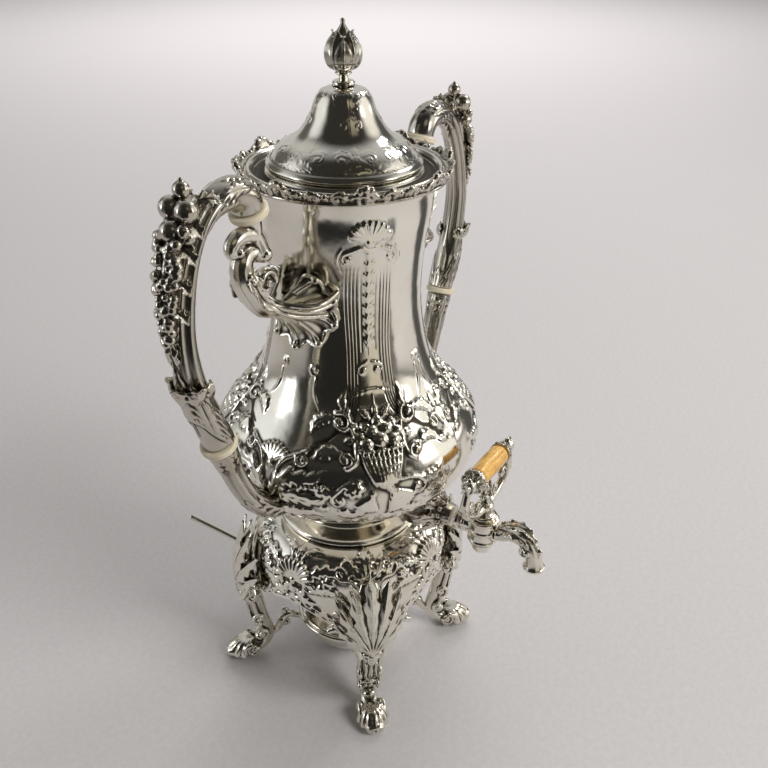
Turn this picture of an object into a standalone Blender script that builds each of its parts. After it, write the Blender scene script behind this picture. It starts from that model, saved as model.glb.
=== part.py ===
"""Silver hot-drinks urn on its own lamp stand, as the separate pieces it comes apart into.

Origin on the floor under the vessel's axis. +Z is up, the spigot points to -Y, the two handles
lie along X, the legs stand on the diagonals and the lamp's rod handle points to +Y.
Every length below is in millimetres; MM turns it into Blender's metres.
"""

import math

import bmesh
import bpy
from mathutils import Matrix, Vector

MM = 0.001
GAP = 0.35

# Driving dimensions
TURN_STEPS = 24
BODY_STEPS = 32
SMALL_STEPS = 16
LIMB_SIDES = 10
WALL = 1.6
RIM_RADIUS = 56.5
STAND_OPENING = 41.0
SPIGOT_HEIGHT = 146.0
TAP_Y = -97.0
TAP_OPEN_ANGLE = 40.0
GRIP_HEIGHT = 191.0
GRIP_LENGTH = 29.0
GRIP_CAP_LENGTH = 6.5
BARREL_TOP = 154.5
BARREL_BOTTOM = 137.4
INSULATOR_RADIUS = 9.7
INSULATOR_THICKNESS = 3.6
DOWEL_RADIUS = 3.0
UPPER_RING = (78.0, 344.5)
UPPER_RING_LEAN = 20.0
LOWER_RING = (112.6, 234.0)
LOWER_RING_LEAN = 19.0

VESSEL_OUTLINE = [
    (52.2, 346.5), (50.6, 343), (48.6, 338), (46.6, 325), (44.6, 310), (43, 295), (42.4, 280),
    (43.3, 265), (45.8, 250), (50.3, 235), (55.7, 225), (63, 215), (71, 205.5), (76.8, 196),
    (78.8, 187), (78.2, 177), (73.5, 167), (65, 158.5), (54, 150.5), (46, 145), (40, 140.5),
    (34.5, 136),
]
VESSEL_FLOOR = 134.6

LID_OUTLINE = [
    (6, 388), (11, 386.5), (13.5, 384), (15.5, 380), (17.5, 375), (20.5, 370), (24.5, 365),
    (30, 361.5), (35, 358), (38.5, 354), (40.8, 351.3), (41.2, 349.6), (40.2, 348.2),
]
LID_WALL = 1.5

# Half of the handle's middle line, as (x, z, half depth in the handle's plane, half width)
HANDLE_LINE = [
    (78.8, 346.7, 7.9, 7.9), (80.2, 350.5, 8, 8), (86, 355, 7.7, 7.8), (95, 356.3, 7.3, 7.4),
    (103, 354.8, 7, 7), (110.5, 349.8, 6.8, 6.9), (116.5, 342, 6.8, 6.9), (121.5, 332, 6.8, 6.9),
    (125.2, 320, 7, 7), (127.6, 308, 7.2, 7.2), (128.3, 296, 7.3, 7.4), (127.2, 284, 7.6, 7.6),
    (124.6, 270.5, 8, 8), (121.2, 259.8, 8, 8), (118, 250, 7.8, 7.8), (114.9, 241, 7.6, 7.7),
    (113.4, 236.4, 7.5, 7.6),
]
FRUIT_LINE = [
    (118.5, 366.5, 3.6, 4), (121, 360, 5, 6.4), (126.5, 351.5, 4.8, 7), (131.7, 340, 4.4, 7),
    (135.3, 328, 3.9, 6.4), (137.6, 316, 3.4, 5.8), (138.6, 306, 2.9, 4.8), (138.2, 299, 1.8, 3),
]
BRACKET_LINE = [
    (77.2, 342.2, 5.4, 5.4), (75.5, 337.5, 5, 5), (78, 331, 4.6, 5.4), (82.4, 324.5, 4.5, 5.8),
    (84.2, 316.5, 4.5, 6), (83, 308, 4.5, 6.4), (79, 299, 4.4, 7), (72, 291, 4, 9),
    (62.5, 284.5, 3.6, 13), (52, 279, 3.2, 17), (43, 274, 2.6, 18), (36, 270, 2.4, 16),
]
SOCKET_LINE = [
    (111.6, 231.3, 7.6, 7.6), (109, 223.5, 6.8, 7), (103.6, 208.5, 6.6, 7), (96, 192.5, 6.4, 7.4),
    (86, 179.5, 6.2, 9), (73, 169.5, 5.4, 11), (62, 165, 4.5, 11),
]

# The leg's middle line on its diagonal, as (distance from the axis, z, half depth, half width)
LEG_LINE = [
    (64.6, 111, 1.6, 5), (68, 103, 3.3, 8.6), (70.2, 94, 4.4, 9.6), (71.4, 84, 5.4, 9.4),
    (71.2, 73, 6.2, 8.8), (69.2, 62, 7.2, 8), (66.9, 49, 8.2, 7.2), (64.2, 36, 7, 6.4),
    (60.6, 25, 5.2, 5.6), (59.6, 15.5, 4.8, 5.4), (63.5, 9, 4.8, 6), (69.5, 6.2, 5, 7),
    (76, 5.4, 7.6, 8.4), (85, 5.2, 7.8, 8.4), (88.4, 4.6, 5.4, 6.6), (90.3, 3.8, 2.6, 4),
]
ARM_LINE = [(52.2, 19.2), (51, 22), (49.2, 26), (46.8, 29.8), (44, 31.8), (41.4, 31), (38.8, 28.2)]
ARM_RADIUS = 2.8

STAND_TOP = [(STAND_OPENING, 121.8), (46, 121.6)]
STAND_FACE = [
    (52, 119.6), (57, 115.8), (60.4, 110.5), (62, 104), (62.6, 96), (62.4, 88), (61.8, 80),
    (61, 64),
]
STAND_CORNER = [
    (52.4, 119.4), (57.6, 115), (61.4, 109), (63.6, 101.5), (64.8, 92), (64.8, 82), (64, 73),
    (61.6, 64),
]
STAND_ROWS = 8
STAND_COLUMNS = 40
APRON_LOW = 66.0
APRON_RISE = 18.0

HANDLE_SIDES = {"left": -1, "right": 1}
CORNERS = {"front_left": 225, "front_right": 315, "back_right": 45, "back_left": 135}

SILVER = ("silver", (0.78, 0.76, 0.71), 1.0, 0.16)
OXIDISED_SILVER = ("oxidised_silver", (0.42, 0.40, 0.36), 1.0, 0.3)
IVORY = ("ivory", (0.82, 0.74, 0.56), 0.0, 0.35)
AMBER_IVORY = ("amber_ivory", (0.86, 0.55, 0.15), 0.0, 0.3)
COTTON = ("cotton", (0.85, 0.82, 0.74), 0.0, 0.9)


def clear_scene():
    for obj in list(bpy.data.objects):
        bpy.data.objects.remove(obj, do_unlink=True)


def new_collection(name):
    collection = bpy.data.collections.new(name)
    bpy.context.scene.collection.children.link(collection)
    return collection


def material(spec):
    name, colour, metallic, roughness = spec
    found = bpy.data.materials.get(name)
    if found:
        return found
    made = bpy.data.materials.new(name)
    made.use_nodes = True
    shader = made.node_tree.nodes["Principled BSDF"]
    shader.inputs["Base Color"].default_value = (*colour, 1)
    shader.inputs["Metallic"].default_value = metallic
    shader.inputs["Roughness"].default_value = roughness
    return made


def node(name, mesh, finish, collection=None):
    """Links a mesh as one named piece."""
    obj = bpy.data.objects.new(name, mesh)
    (collection or PARTS).objects.link(obj)
    mesh.materials.append(material(finish))
    return obj


def hide_as_cutter(obj):
    obj.hide_render = True
    obj.display_type = "WIRE"
    return obj


def outline_mesh(name, points, closed):
    """A profile in the XZ plane, given in millimetres as (radius, height)."""
    mesh = bpy.data.meshes.new(name)
    edges = [(i, i + 1) for i in range(len(points) - 1)]
    if closed:
        edges.append((len(points) - 1, 0))
    mesh.from_pydata([(r * MM, 0, z * MM) for r, z in points], edges, [])
    return mesh


def turned(name, points, finish, closed=False, steps=TURN_STEPS, collection=None):
    """A turned piece. An open profile starts and ends on the axis; a closed one is a ring's section."""
    obj = node(name, outline_mesh(name, points, closed), finish, collection)
    screw = obj.modifiers.new("turn", "SCREW")
    screw.steps = steps
    screw.render_steps = steps
    screw.use_merge_vertices = True
    screw.merge_threshold = 0.00001
    return obj


def limb_mesh(name, line, sides, floor=None):
    """A loft of ovals along a line in the XZ plane, with flat ends. Points are (x, z, half depth, half width)."""
    mesh = bpy.data.meshes.new(name)
    bm = bmesh.new()
    rings = []
    for i, (x, z, depth, width) in enumerate(line):
        before = line[max(i - 1, 0)]
        after = line[min(i + 1, len(line) - 1)]
        along = Vector((after[0] - before[0], 0, after[1] - before[1])).normalized()
        across = Vector((along.z, 0, -along.x))
        ring = []
        for k in range(sides):
            angle = 2 * math.pi * k / sides
            point = Vector((x, 0, z)) + across * depth * math.cos(angle)
            point.y = width * math.sin(angle)
            if floor is not None:
                point.z = max(point.z, floor)
            ring.append(bm.verts.new(point * MM))
        rings.append(ring)
    for lower, upper in zip(rings, rings[1:]):
        for k in range(sides):
            after = (k + 1) % sides
            bm.faces.new((lower[k], lower[after], upper[after], upper[k]))
    bm.faces.new(rings[0][::-1])
    bm.faces.new(rings[-1])
    bmesh.ops.recalc_face_normals(bm, faces=bm.faces)
    bm.to_mesh(mesh)
    bm.free()
    return mesh


def side_limb(name, line, side, finish):
    """A limb in the handles' plane, on the side named by the sign of X."""
    mesh = limb_mesh(name, [(side * x, z, depth, width) for x, z, depth, width in line], LIMB_SIDES)
    return node(name, mesh, finish)


def tube_mesh(name, points, radius, resolution=2, radii=None):
    """A tube with filled ends through points in millimetres, made as a curve and then as a mesh."""
    curve = bpy.data.curves.new(name, "CURVE")
    curve.dimensions = "3D"
    curve.bevel_depth = radius * MM
    curve.bevel_resolution = resolution
    curve.use_fill_caps = True
    spline = curve.splines.new("POLY")
    spline.points.add(len(points) - 1)
    for i, point in enumerate(points):
        spline.points[i].co = (*(c * MM for c in point), 1)
        spline.points[i].radius = radii[i] if radii else 1
    guide = bpy.data.objects.new(name + "_guide", curve)
    bpy.context.scene.collection.objects.link(guide)
    graph = bpy.context.evaluated_depsgraph_get()
    mesh = bpy.data.meshes.new_from_object(guide.evaluated_get(graph))
    bpy.data.objects.remove(guide, do_unlink=True)
    bpy.data.curves.remove(curve)
    bm = bmesh.new()
    bm.from_mesh(mesh)
    bmesh.ops.remove_doubles(bm, verts=bm.verts, dist=0.000005)
    bmesh.ops.recalc_face_normals(bm, faces=bm.faces)
    bm.to_mesh(mesh)
    bm.free()
    return mesh


def smooth_path(points, spacing):
    """Points along a Catmull-Rom curve through the given ones."""
    path = []
    ends = [points[0]] + list(points) + [points[-1]]
    for a, b, c, d in zip(ends, ends[1:], ends[2:], ends[3:]):
        a, b, c, d = (Vector(p) for p in (a, b, c, d))
        count = max(1, round((c - b).length / spacing))
        for i in range(count):
            t = i / count
            path.append(
                0.5 * (2 * b + (c - a) * t + (2 * a - 5 * b + 4 * c - d) * t * t
                       + (3 * b - a - 3 * c + d) * t ** 3)
            )
    path.append(Vector(points[-1]))
    return path


def cylinder(name, radius, start, end, steps=SMALL_STEPS, collection=None):
    """A cylinder between two points, in millimetres."""
    start, end = Vector(start) * MM, Vector(end) * MM
    bm = bmesh.new()
    bmesh.ops.create_cone(
        bm, cap_ends=True, segments=steps, radius1=radius * MM, radius2=radius * MM,
        depth=(end - start).length,
    )
    mesh = bpy.data.meshes.new(name)
    bm.to_mesh(mesh)
    bm.free()
    obj = node(name, mesh, SILVER, collection)
    obj.rotation_euler = (end - start).to_track_quat("Z", "Y").to_euler()
    obj.location = (start + end) / 2
    return obj


def cutter_cylinder(name, radius, start, end, steps=SMALL_STEPS):
    return hide_as_cutter(cylinder(name, radius, start, end, steps=steps, collection=CUTTERS))


def boolean(obj, other, operation="DIFFERENCE"):
    modifier = obj.modifiers.new(operation.lower(), "BOOLEAN")
    modifier.operation = operation
    modifier.object = other
    modifier.solver = "EXACT"
    return obj


def union_part(obj, other):
    """Joins a second solid to a piece and keeps the second only as a helper."""
    boolean(obj, other, "UNION")
    for collection in list(other.users_collection):
        collection.objects.unlink(other)
    CUTTERS.objects.link(other)
    return hide_as_cutter(other)


def aim_along_y(obj, height):
    """Turns a piece made about Z so that its top points to the spigot's side."""
    obj.rotation_euler = (math.radians(90), 0, 0)
    obj.location = (0, 0, height * MM)


def hole_ring(outer, inner, top, bottom):
    """The section of a plain ring, ready to turn."""
    return [(outer, top), (outer, bottom), (inner, bottom), (inner, top)]


def offset_outline(points, distance):
    """The outline moved outward (or inward, if negative) square to itself."""
    moved = []
    for i, (r, z) in enumerate(points):
        before = points[max(i - 1, 0)]
        after = points[min(i + 1, len(points) - 1)]
        along = Vector((after[0] - before[0], after[1] - before[1])).normalized()
        moved.append((r - along.y * distance, z + along.x * distance))
    return moved


def build_vessel():
    inner = offset_outline(VESSEL_OUTLINE, -WALL)[:-1:2]
    inner[0] = (VESSEL_OUTLINE[0][0] - WALL, VESSEL_OUTLINE[0][1])
    floor_inside = VESSEL_FLOOR + WALL
    profile = [(0, floor_inside), (32, floor_inside + 0.6)] + inner[::-1]
    profile += VESSEL_OUTLINE + [(31, VESSEL_FLOOR), (0, VESSEL_FLOOR)]
    vessel = turned("vessel_body", profile, SILVER, steps=BODY_STEPS)
    outlet = cutter_cylinder(
        "outlet_cutter", 3.4, (0, -60, SPIGOT_HEIGHT), (0, -38, SPIGOT_HEIGHT), steps=12
    )
    boolean(vessel, outlet)

    grown = offset_outline(VESSEL_OUTLINE, GAP)
    outside = [(0, 346.5)] + grown + [(31, VESSEL_FLOOR - GAP), (0, VESSEL_FLOOR - GAP)]
    vessel_space = hide_as_cutter(
        turned("vessel_space", outside, SILVER, steps=BODY_STEPS, collection=CUTTERS)
    )

    turned("rim_border", [
        (53.8, 351), (55.6, 350.2), (RIM_RADIUS, 347.6), (55.6, 345), (53.6, 343.8), (52.7, 344.6),
        (52.7, 350.2),
    ], SILVER, closed=True)
    turned("mouth_ring", [
        (52, 348.4), (52, 346.9), (48.7, 346.9), (47, 343.6), (40.3, 341.6), (40.3, 336),
        (38.8, 336), (38.8, 347.8), (41.6, 347.8), (44, 345.6), (48, 345.9), (51, 348.4),
    ], SILVER, closed=True)
    turned("foot_ring", [
        (31.8, VESSEL_FLOOR - GAP), (31, 130.6), (33.6, 127.6), (40.4, 126.2), (44.8, 124.8),
        (44.8, 122.4), (38.8, 122.2), (38.8, 115.6), (37.3, 115.6), (37.3, 121.4), (30.4, 126),
        (29.2, 130.4), (29.8, VESSEL_FLOOR - GAP),
    ], SILVER, closed=True)
    return vessel_space


def build_lid():
    inner = offset_outline(LID_OUTLINE, -LID_WALL)[:-2]
    section = [(2.7, 388.2)] + LID_OUTLINE + [(38.9, 348.8)] + inner[::-1] + [(2.7, 386.5)]
    turned("lid", section, SILVER, closed=True)
    turned("lid_bezel", hole_ring(38.4, 36.9, 348.4, 340), SILVER, closed=True)
    turned("finial_stem", [
        (0, 395.4), (3.8, 395.4), (4.4, 394.4), (2.6, 393.4), (2.4, 391.6), (5.2, 390.6),
        (5.8, 389.4), (5.2, 388.6), (2.3, 388.6), (2.3, 380.4), (0, 380.4),
    ], SILVER, steps=SMALL_STEPS)
    turned("finial_bud", [
        (0, 420), (1.3, 418.4), (3.2, 414.8), (6.6, 411.8), (9, 407.8), (9.6, 403.8),
        (8.6, 399.6), (4.8, 396.4), (0, 395.8),
    ], SILVER, steps=SMALL_STEPS)
    turned("finial_nut", hole_ring(5, 2.7, 385.4, 381.6), SILVER, closed=True, steps=6)


def leaned_ring(name, side, centre, lean, profile, finish, steps):
    """A turned piece set at a ring of the handle, leaning outward from upright."""
    obj = turned(name, profile, finish, closed=True, steps=steps)
    x, z = centre
    obj.location = (side * x * MM, 0, z * MM)
    obj.rotation_euler = (0, math.radians(side * lean), 0)
    return obj


def build_handle(word, side, vessel_space):
    half = INSULATOR_THICKNESS / 2
    rings = {
        "upper": (UPPER_RING, UPPER_RING_LEAN),
        "lower": (LOWER_RING, LOWER_RING_LEAN),
    }
    for level, (centre, lean) in rings.items():
        leaned_ring(
            f"insulator_{level}_{word}", side, centre, lean,
            hole_ring(INSULATOR_RADIUS, DOWEL_RADIUS + GAP, half, -half), IVORY, SMALL_STEPS,
        )
        dowel = turned(
            f"dowel_{level}_{word}",
            [(0, half), (DOWEL_RADIUS, half), (DOWEL_RADIUS, -half), (0, -half)], SILVER, steps=12,
        )
        dowel.location = (side * centre[0] * MM, 0, centre[1] * MM)
        dowel.rotation_euler = (0, math.radians(side * lean), 0)
    side_limb(f"handle_{word}", HANDLE_LINE, side, SILVER)
    side_limb(f"fruit_cluster_{word}", FRUIT_LINE, side, OXIDISED_SILVER)
    boolean(side_limb(f"upper_bracket_{word}", BRACKET_LINE, side, SILVER), vessel_space)
    boolean(side_limb(f"lower_socket_{word}", SOCKET_LINE, side, SILVER), vessel_space)


def build_spigot(vessel_space):
    y_flange = 68.0
    flange = turned("spigot_flange", [
        (7, y_flange), (9.4, y_flange - 1), (10.4, y_flange - 4), (13, y_flange - 8),
        (14.4, y_flange - 14), (14.4, 40), (7, 40),
    ], SILVER, closed=True, steps=SMALL_STEPS)
    aim_along_y(flange, SPIGOT_HEIGHT)
    boolean(flange, vessel_space)

    body = cylinder(
        "spigot_body", 6.4, (0, -40, SPIGOT_HEIGHT), (0, TAP_Y, SPIGOT_HEIGHT)
    )
    barrel = cylinder("barrel_solid", 8.8, (0, TAP_Y, BARREL_BOTTOM), (0, TAP_Y, BARREL_TOP))
    union_part(body, barrel)
    boolean(body, vessel_space)
    boolean(body, cutter_cylinder(
        "plug_bore", 5.4, (0, TAP_Y, BARREL_BOTTOM - 5), (0, TAP_Y, BARREL_TOP + 5)
    ))
    boolean(body, cutter_cylinder(
        "flow_bore", 3.2, (0, -30, SPIGOT_HEIGHT), (0, TAP_Y - 12, SPIGOT_HEIGHT), steps=12
    ))

    route = smooth_path([
        (0, TAP_Y - 9.4, 146.4), (0, TAP_Y - 12, 146.5), (0, -114.5, 149), (0, -120.5, 149.6),
        (0, -126.3, 146.6), (0, -130, 139.6), (0, -131, 131.4),
    ], 4)
    last = len(route) - 1
    flare = [1.0 + 0.34 * max(0.0, (i - last + 2) / 2) for i in range(last + 1)]
    nozzle = node("spigot_nozzle", tube_mesh("spigot_nozzle", route, 5.4, 3, flare), SILVER)
    bore_route = [Vector((0, TAP_Y - 5, 146.4))] + route + [Vector((0, -131, 126))]
    bore = node("nozzle_bore", tube_mesh("nozzle_bore", bore_route, 3.3, 1), SILVER, CUTTERS)
    boolean(nozzle, hide_as_cutter(bore))

    strainer = turned("strainer", [
        (0, 33.2), (4.4, 33.2), (4.4, 35.6), (5.2, 35.6), (5.2, 32.4), (0, 32.4),
    ], SILVER, steps=16)
    aim_along_y(strainer, SPIGOT_HEIGHT)
    for i in range(5):
        angle = math.radians(72 * i)
        x, z = 2.5 * math.cos(angle), SPIGOT_HEIGHT + 2.5 * math.sin(angle)
        boolean(strainer, cutter_cylinder(
            f"strainer_hole_{i}", 0.8, (x, -31, z), (x, -34.5, z), steps=8
        ))


def build_tap():
    """The key turns about the barrel's axis, so each piece of it has its origin there."""
    axis = Vector((0, TAP_Y * MM, 0))

    plug = turned("tap_plug", [
        (0, 157.4), (6.8, 157.4), (7.6, 156.4), (6.8, BARREL_TOP + GAP), (5, BARREL_TOP + GAP),
        (4.6, 137.2), (2.5, 136.8), (2.5, 129.6), (0, 129.6),
    ], SILVER, steps=SMALL_STEPS)
    plug.location = axis
    port = Matrix.Rotation(math.radians(-TAP_OPEN_ANGLE), 4, "Z") @ Vector((0, 9, 0))
    boolean(plug, cutter_cylinder(
        "port_cutter", 2.7, (-port.x, TAP_Y - port.y, SPIGOT_HEIGHT),
        (port.x, TAP_Y + port.y, SPIGOT_HEIGHT), steps=12,
    ))

    washer = turned(
        "plug_washer", hole_ring(7.4, 2.9, 136.4, 135), SILVER, closed=True, steps=SMALL_STEPS
    )
    nut = turned("plug_nut", hole_ring(5.8, 2.9, 134.6, 130.4), SILVER, closed=True, steps=6)

    half_span = GRIP_LENGTH / 2 + GRIP_CAP_LENGTH + 3.3
    arm = [
        (half_span, GRIP_HEIGHT + 2), (half_span + 0.4, 188), (27.2, 182), (27.4, 176),
        (23.6, 169.4), (15, 165), (6, 162.6),
    ]
    line = [(x, 0, z) for x, z in arm] + [(0, 0, 162)] + [(-x, 0, z) for x, z in arm[::-1]]
    yoke = node("tap_yoke", tube_mesh("tap_yoke", smooth_path(line, 5), 2.5, 2), SILVER)
    boss = turned("yoke_boss", [
        (0, 164.6), (4.4, 164), (5.4, 161.6), (4.2, 159.6), (6, 157.8), (0, 157.8),
    ], SILVER, steps=16)
    boss.location = axis
    union_part(yoke, boss)

    leaf = node("tap_leaf", limb_mesh("tap_leaf", [
        (0, 165.2, 2.2, 2), (0, 169, 4, 2.4), (0, 174, 5.2, 2.4), (0, 179, 3.6, 2), (0, 183, 1.4, 1),
    ], 10), SILVER)

    for piece in (washer, nut, yoke, leaf):
        piece.location = axis

    def lengthwise(name, profile, finish, steps, closed=True):
        piece = turned(name, profile, finish, closed=closed, steps=steps)
        piece.rotation_euler = (0, math.radians(90), 0)
        piece.location = axis + Vector((0, 0, GRIP_HEIGHT * MM))
        return piece

    half = GRIP_LENGTH / 2
    lengthwise("tap_grip", [
        (5.4, half), (5.9, half - 4), (6, 0), (5.9, 4 - half), (5.4, -half), (2, -half), (2, half),
    ], AMBER_IVORY, SMALL_STEPS)
    for word, side in HANDLE_SIDES.items():
        ends = sorted((side * (half + GAP), side * (half + GRIP_CAP_LENGTH)))
        lengthwise(f"grip_cap_{word}", hole_ring(6.2, 2, ends[1], ends[0]), SILVER, SMALL_STEPS)
    reach = half + GRIP_CAP_LENGTH + 0.1
    lengthwise("grip_rod", [(0, reach), (1.6, reach), (1.6, -reach), (0, -reach)], SILVER, 12, False)


def outline_radius(outline, height):
    """The radius of an outline, given top to bottom, at a height."""
    for (r1, z1), (r2, z2) in zip(outline, outline[1:]):
        if z2 <= height <= z1:
            return r1 + (r2 - r1) * (z1 - height) / (z1 - z2)
    return outline[-1][0]


def build_stand():
    mesh = bpy.data.meshes.new("stand_shell")
    bm = bmesh.new()
    rows = []
    for row in range(STAND_ROWS):
        ring = []
        for column in range(STAND_COLUMNS):
            angle = 2 * math.pi * column / STAND_COLUMNS
            to_face = math.cos(2 * angle) ** 2
            if row < len(STAND_TOP):
                radius, height = STAND_TOP[row]
            else:
                share = (row - len(STAND_TOP)) / (STAND_ROWS - len(STAND_TOP) - 1)
                low = APRON_LOW + APRON_RISE * to_face
                height = STAND_FACE[0][1] + (low - STAND_FACE[0][1]) * share
                radius = to_face * outline_radius(STAND_FACE, height)
                radius += (1 - to_face) * outline_radius(STAND_CORNER, height)
            point = Vector((radius * math.cos(angle), radius * math.sin(angle), height))
            ring.append(bm.verts.new(point * MM))
        rows.append(ring)
    for upper, lower in zip(rows, rows[1:]):
        for column in range(STAND_COLUMNS):
            after = (column + 1) % STAND_COLUMNS
            bm.faces.new((upper[column], lower[column], lower[after], upper[after]))
    bm.normal_update()
    bm.to_mesh(mesh)
    bm.free()
    shell = node("stand_shell", mesh, SILVER)
    thickness = shell.modifiers.new("thickness", "SOLIDIFY")
    thickness.thickness = 1.5 * MM
    thickness.offset = -1

    for corner, degrees in CORNERS.items():
        turn = (0, 0, math.radians(degrees))
        leg_mesh = limb_mesh(f"leg_{corner}", LEG_LINE, LIMB_SIDES, floor=0)
        leg = node(f"leg_{corner}", leg_mesh, SILVER)
        leg.rotation_euler = turn
        route = smooth_path([(r, 0, z) for r, z in ARM_LINE], 5)
        arm = node(f"lamp_arm_{corner}", tube_mesh(f"lamp_arm_{corner}", route, ARM_RADIUS, 2), SILVER)
        arm.rotation_euler = turn
    turned("lamp_ring", hole_ring(34.6, 30.8, 30.4, 26), SILVER, closed=True)


def build_burner():
    turned("burner_bowl", [
        (0, 9.4), (14, 9.8), (22, 12), (27.2, 17), (28.6, 24), (28.8, 34.2), (37.4, 34.2),
        (37.4, 30.8), (30.2, 30.8), (30, 24), (28.6, 16.4), (23, 10.6), (14, 8.4), (0, 8),
    ], SILVER)
    turned("burner_cover", [
        (6.4, 44.4), (10, 44), (20, 41.4), (29, 38), (35.8, 36.2), (35.8, 34.6), (28.4, 34.6),
        (28, 31.8), (26.6, 31.8), (26.8, 36.4), (19, 39.8), (10, 42.4), (6.4, 42.8),
    ], SILVER, closed=True)
    turned("wick_tube", hole_ring(6, 4.7, 55.4, 19.4), SILVER, closed=True, steps=SMALL_STEPS)
    turned("wick", [(0, 58), (4.3, 57.4), (4.3, 17.4), (0, 17.4)], COTTON, steps=16)
    rod = smooth_path([
        (0, 38.6, 32.6), (-0.6, 46, 35), (-2.2, 62, 40.2), (-4.9, 100, 46.9), (-8.9, 143, 52.6),
    ], 24)
    node("burner_handle", tube_mesh("burner_handle", rod, 2.2, 3), SILVER)
    turned("snuffer_cap", [
        (0, 67), (1.8, 66.6), (2.4, 65.4), (1.4, 63.8), (6.4, 61.8), (8, 59), (8.2, 44.9),
        (6.6, 44.9), (6.5, 58.8), (0, 60),
    ], SILVER, steps=SMALL_STEPS)


clear_scene()
PARTS = new_collection("lamp_urn")
CUTTERS = new_collection("cutters")
vessel_space = build_vessel()
build_lid()
for word, side in HANDLE_SIDES.items():
    build_handle(word, side, vessel_space)
build_spigot(vessel_space)
build_tap()
build_stand()
build_burner()
for piece in PARTS.objects:
    piece.data.shade_smooth()
    piece.data.set_sharp_from_angle(angle=math.radians(40))
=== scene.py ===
"""Looks for the silver urn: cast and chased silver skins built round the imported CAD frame.

Lengths in this file are millimetres until MM turns them into Blender's metres.
"""

import math

import bpy
import numpy as np
from mathutils import Matrix, Vector


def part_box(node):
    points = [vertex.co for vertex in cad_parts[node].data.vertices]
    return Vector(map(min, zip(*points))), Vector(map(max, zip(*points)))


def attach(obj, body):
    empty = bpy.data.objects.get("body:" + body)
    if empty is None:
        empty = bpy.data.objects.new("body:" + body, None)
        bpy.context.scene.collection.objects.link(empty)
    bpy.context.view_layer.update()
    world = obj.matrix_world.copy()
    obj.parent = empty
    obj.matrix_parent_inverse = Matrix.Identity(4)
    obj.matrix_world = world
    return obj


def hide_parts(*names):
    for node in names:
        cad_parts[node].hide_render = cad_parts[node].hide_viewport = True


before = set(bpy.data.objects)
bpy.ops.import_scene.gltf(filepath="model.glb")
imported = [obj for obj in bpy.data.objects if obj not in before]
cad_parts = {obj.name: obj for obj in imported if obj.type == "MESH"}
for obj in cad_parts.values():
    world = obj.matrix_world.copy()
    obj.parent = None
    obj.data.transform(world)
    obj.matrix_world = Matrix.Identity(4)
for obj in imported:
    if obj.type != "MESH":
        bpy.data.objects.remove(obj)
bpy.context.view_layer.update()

MM = 0.001
TAU = 2 * math.pi

# The patina runs from 0 on crests to 1 in creases.
GROUND_PATINA = 0.40
CAST_PATINA = 0.42
INNER_PATINA = 0.5
INK = 2.2

TAP_Y = -97.0
SPIGOT_Z = 146.0
GRIP_Z = 191.0


# ---------------------------------------------------------------- curves and meshes


def unit(vectors):
    return vectors / np.maximum(np.linalg.norm(vectors, axis=-1, keepdims=True), 1e-9)


def spline(points, step=None, count=None):
    """Even steps along the natural cubic spline through the points. Extra columns come along."""
    p = np.array(points, float)
    t = np.concatenate([[0], np.cumsum(np.linalg.norm(np.diff(p[:, :3], axis=0), axis=1))])
    n = len(p)
    h = np.diff(t)
    system = np.eye(n)
    right = np.zeros_like(p)
    for i in range(1, n - 1):
        system[i, i - 1:i + 2] = h[i - 1], 2 * (h[i - 1] + h[i]), h[i]
        right[i] = 6 * ((p[i + 1] - p[i]) / h[i] - (p[i] - p[i - 1]) / h[i - 1])
    m = np.linalg.solve(system, right)
    s = np.linspace(0, t[-1], 24 * n)
    i = np.clip(np.searchsorted(t, s, side="right") - 1, 0, n - 2)
    u, v, w = (s - t[i])[:, None], (t[i + 1] - s)[:, None], h[i][:, None]
    fine = (m[i] * v ** 3 + m[i + 1] * u ** 3) / (6 * w)
    fine += (p[i] / w - m[i] * w / 6) * v + (p[i + 1] / w - m[i + 1] * w / 6) * u
    length = np.concatenate([[0], np.cumsum(np.linalg.norm(np.diff(fine[:, :3], axis=0), axis=1))])
    if count is None:
        count = max(3, int(round(length[-1] / step)) + 1)
    at = np.linspace(0, length[-1], count)
    return np.stack([np.interp(at, length, fine[:, c]) for c in range(p.shape[1])], axis=1)


def flip(side, *points):
    """The points with their x on one side of the middle."""
    return [(side * x, *rest) for x, *rest in points]


def flip_y(side, *points):
    """The points with their y on one side of the middle."""
    return [(x, side * y, *rest) for x, y, *rest in points]


def outline(points, step):
    """An even, smooth (radius, z) profile."""
    flat = [(r, 0, z) for r, z in points]
    return spline(flat, step)[:, [0, 2]]


def grid_quads(rows, cols, closed_rows=False):
    """The quads of a grid whose columns close round."""
    last = rows if closed_rows else rows - 1
    i, j = np.meshgrid(np.arange(last), np.arange(cols), indexing="ij")
    below, after = (i + 1) % rows, (j + 1) % cols
    return np.stack([i * cols + j, below * cols + j, below * cols + after, i * cols + after],
                    -1).reshape(-1, 4)


def capped(grid):
    """(points, quads, triangles) of a tube grid, closed at each end by a fan."""
    rows, cols = grid.shape[:2]
    points = np.concatenate([grid.reshape(-1, 3), [grid[0].mean(0)], [grid[-1].mean(0)]])
    j = np.arange(cols)
    after = (j + 1) % cols
    first, last = rows * cols, rows * cols + 1
    base = (rows - 1) * cols
    triangles = np.concatenate([
        np.stack([j, after, np.full(cols, first)], 1),
        np.stack([base + after, base + j, np.full(cols, last)], 1),
    ])
    return points, grid_quads(rows, cols), triangles


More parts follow.
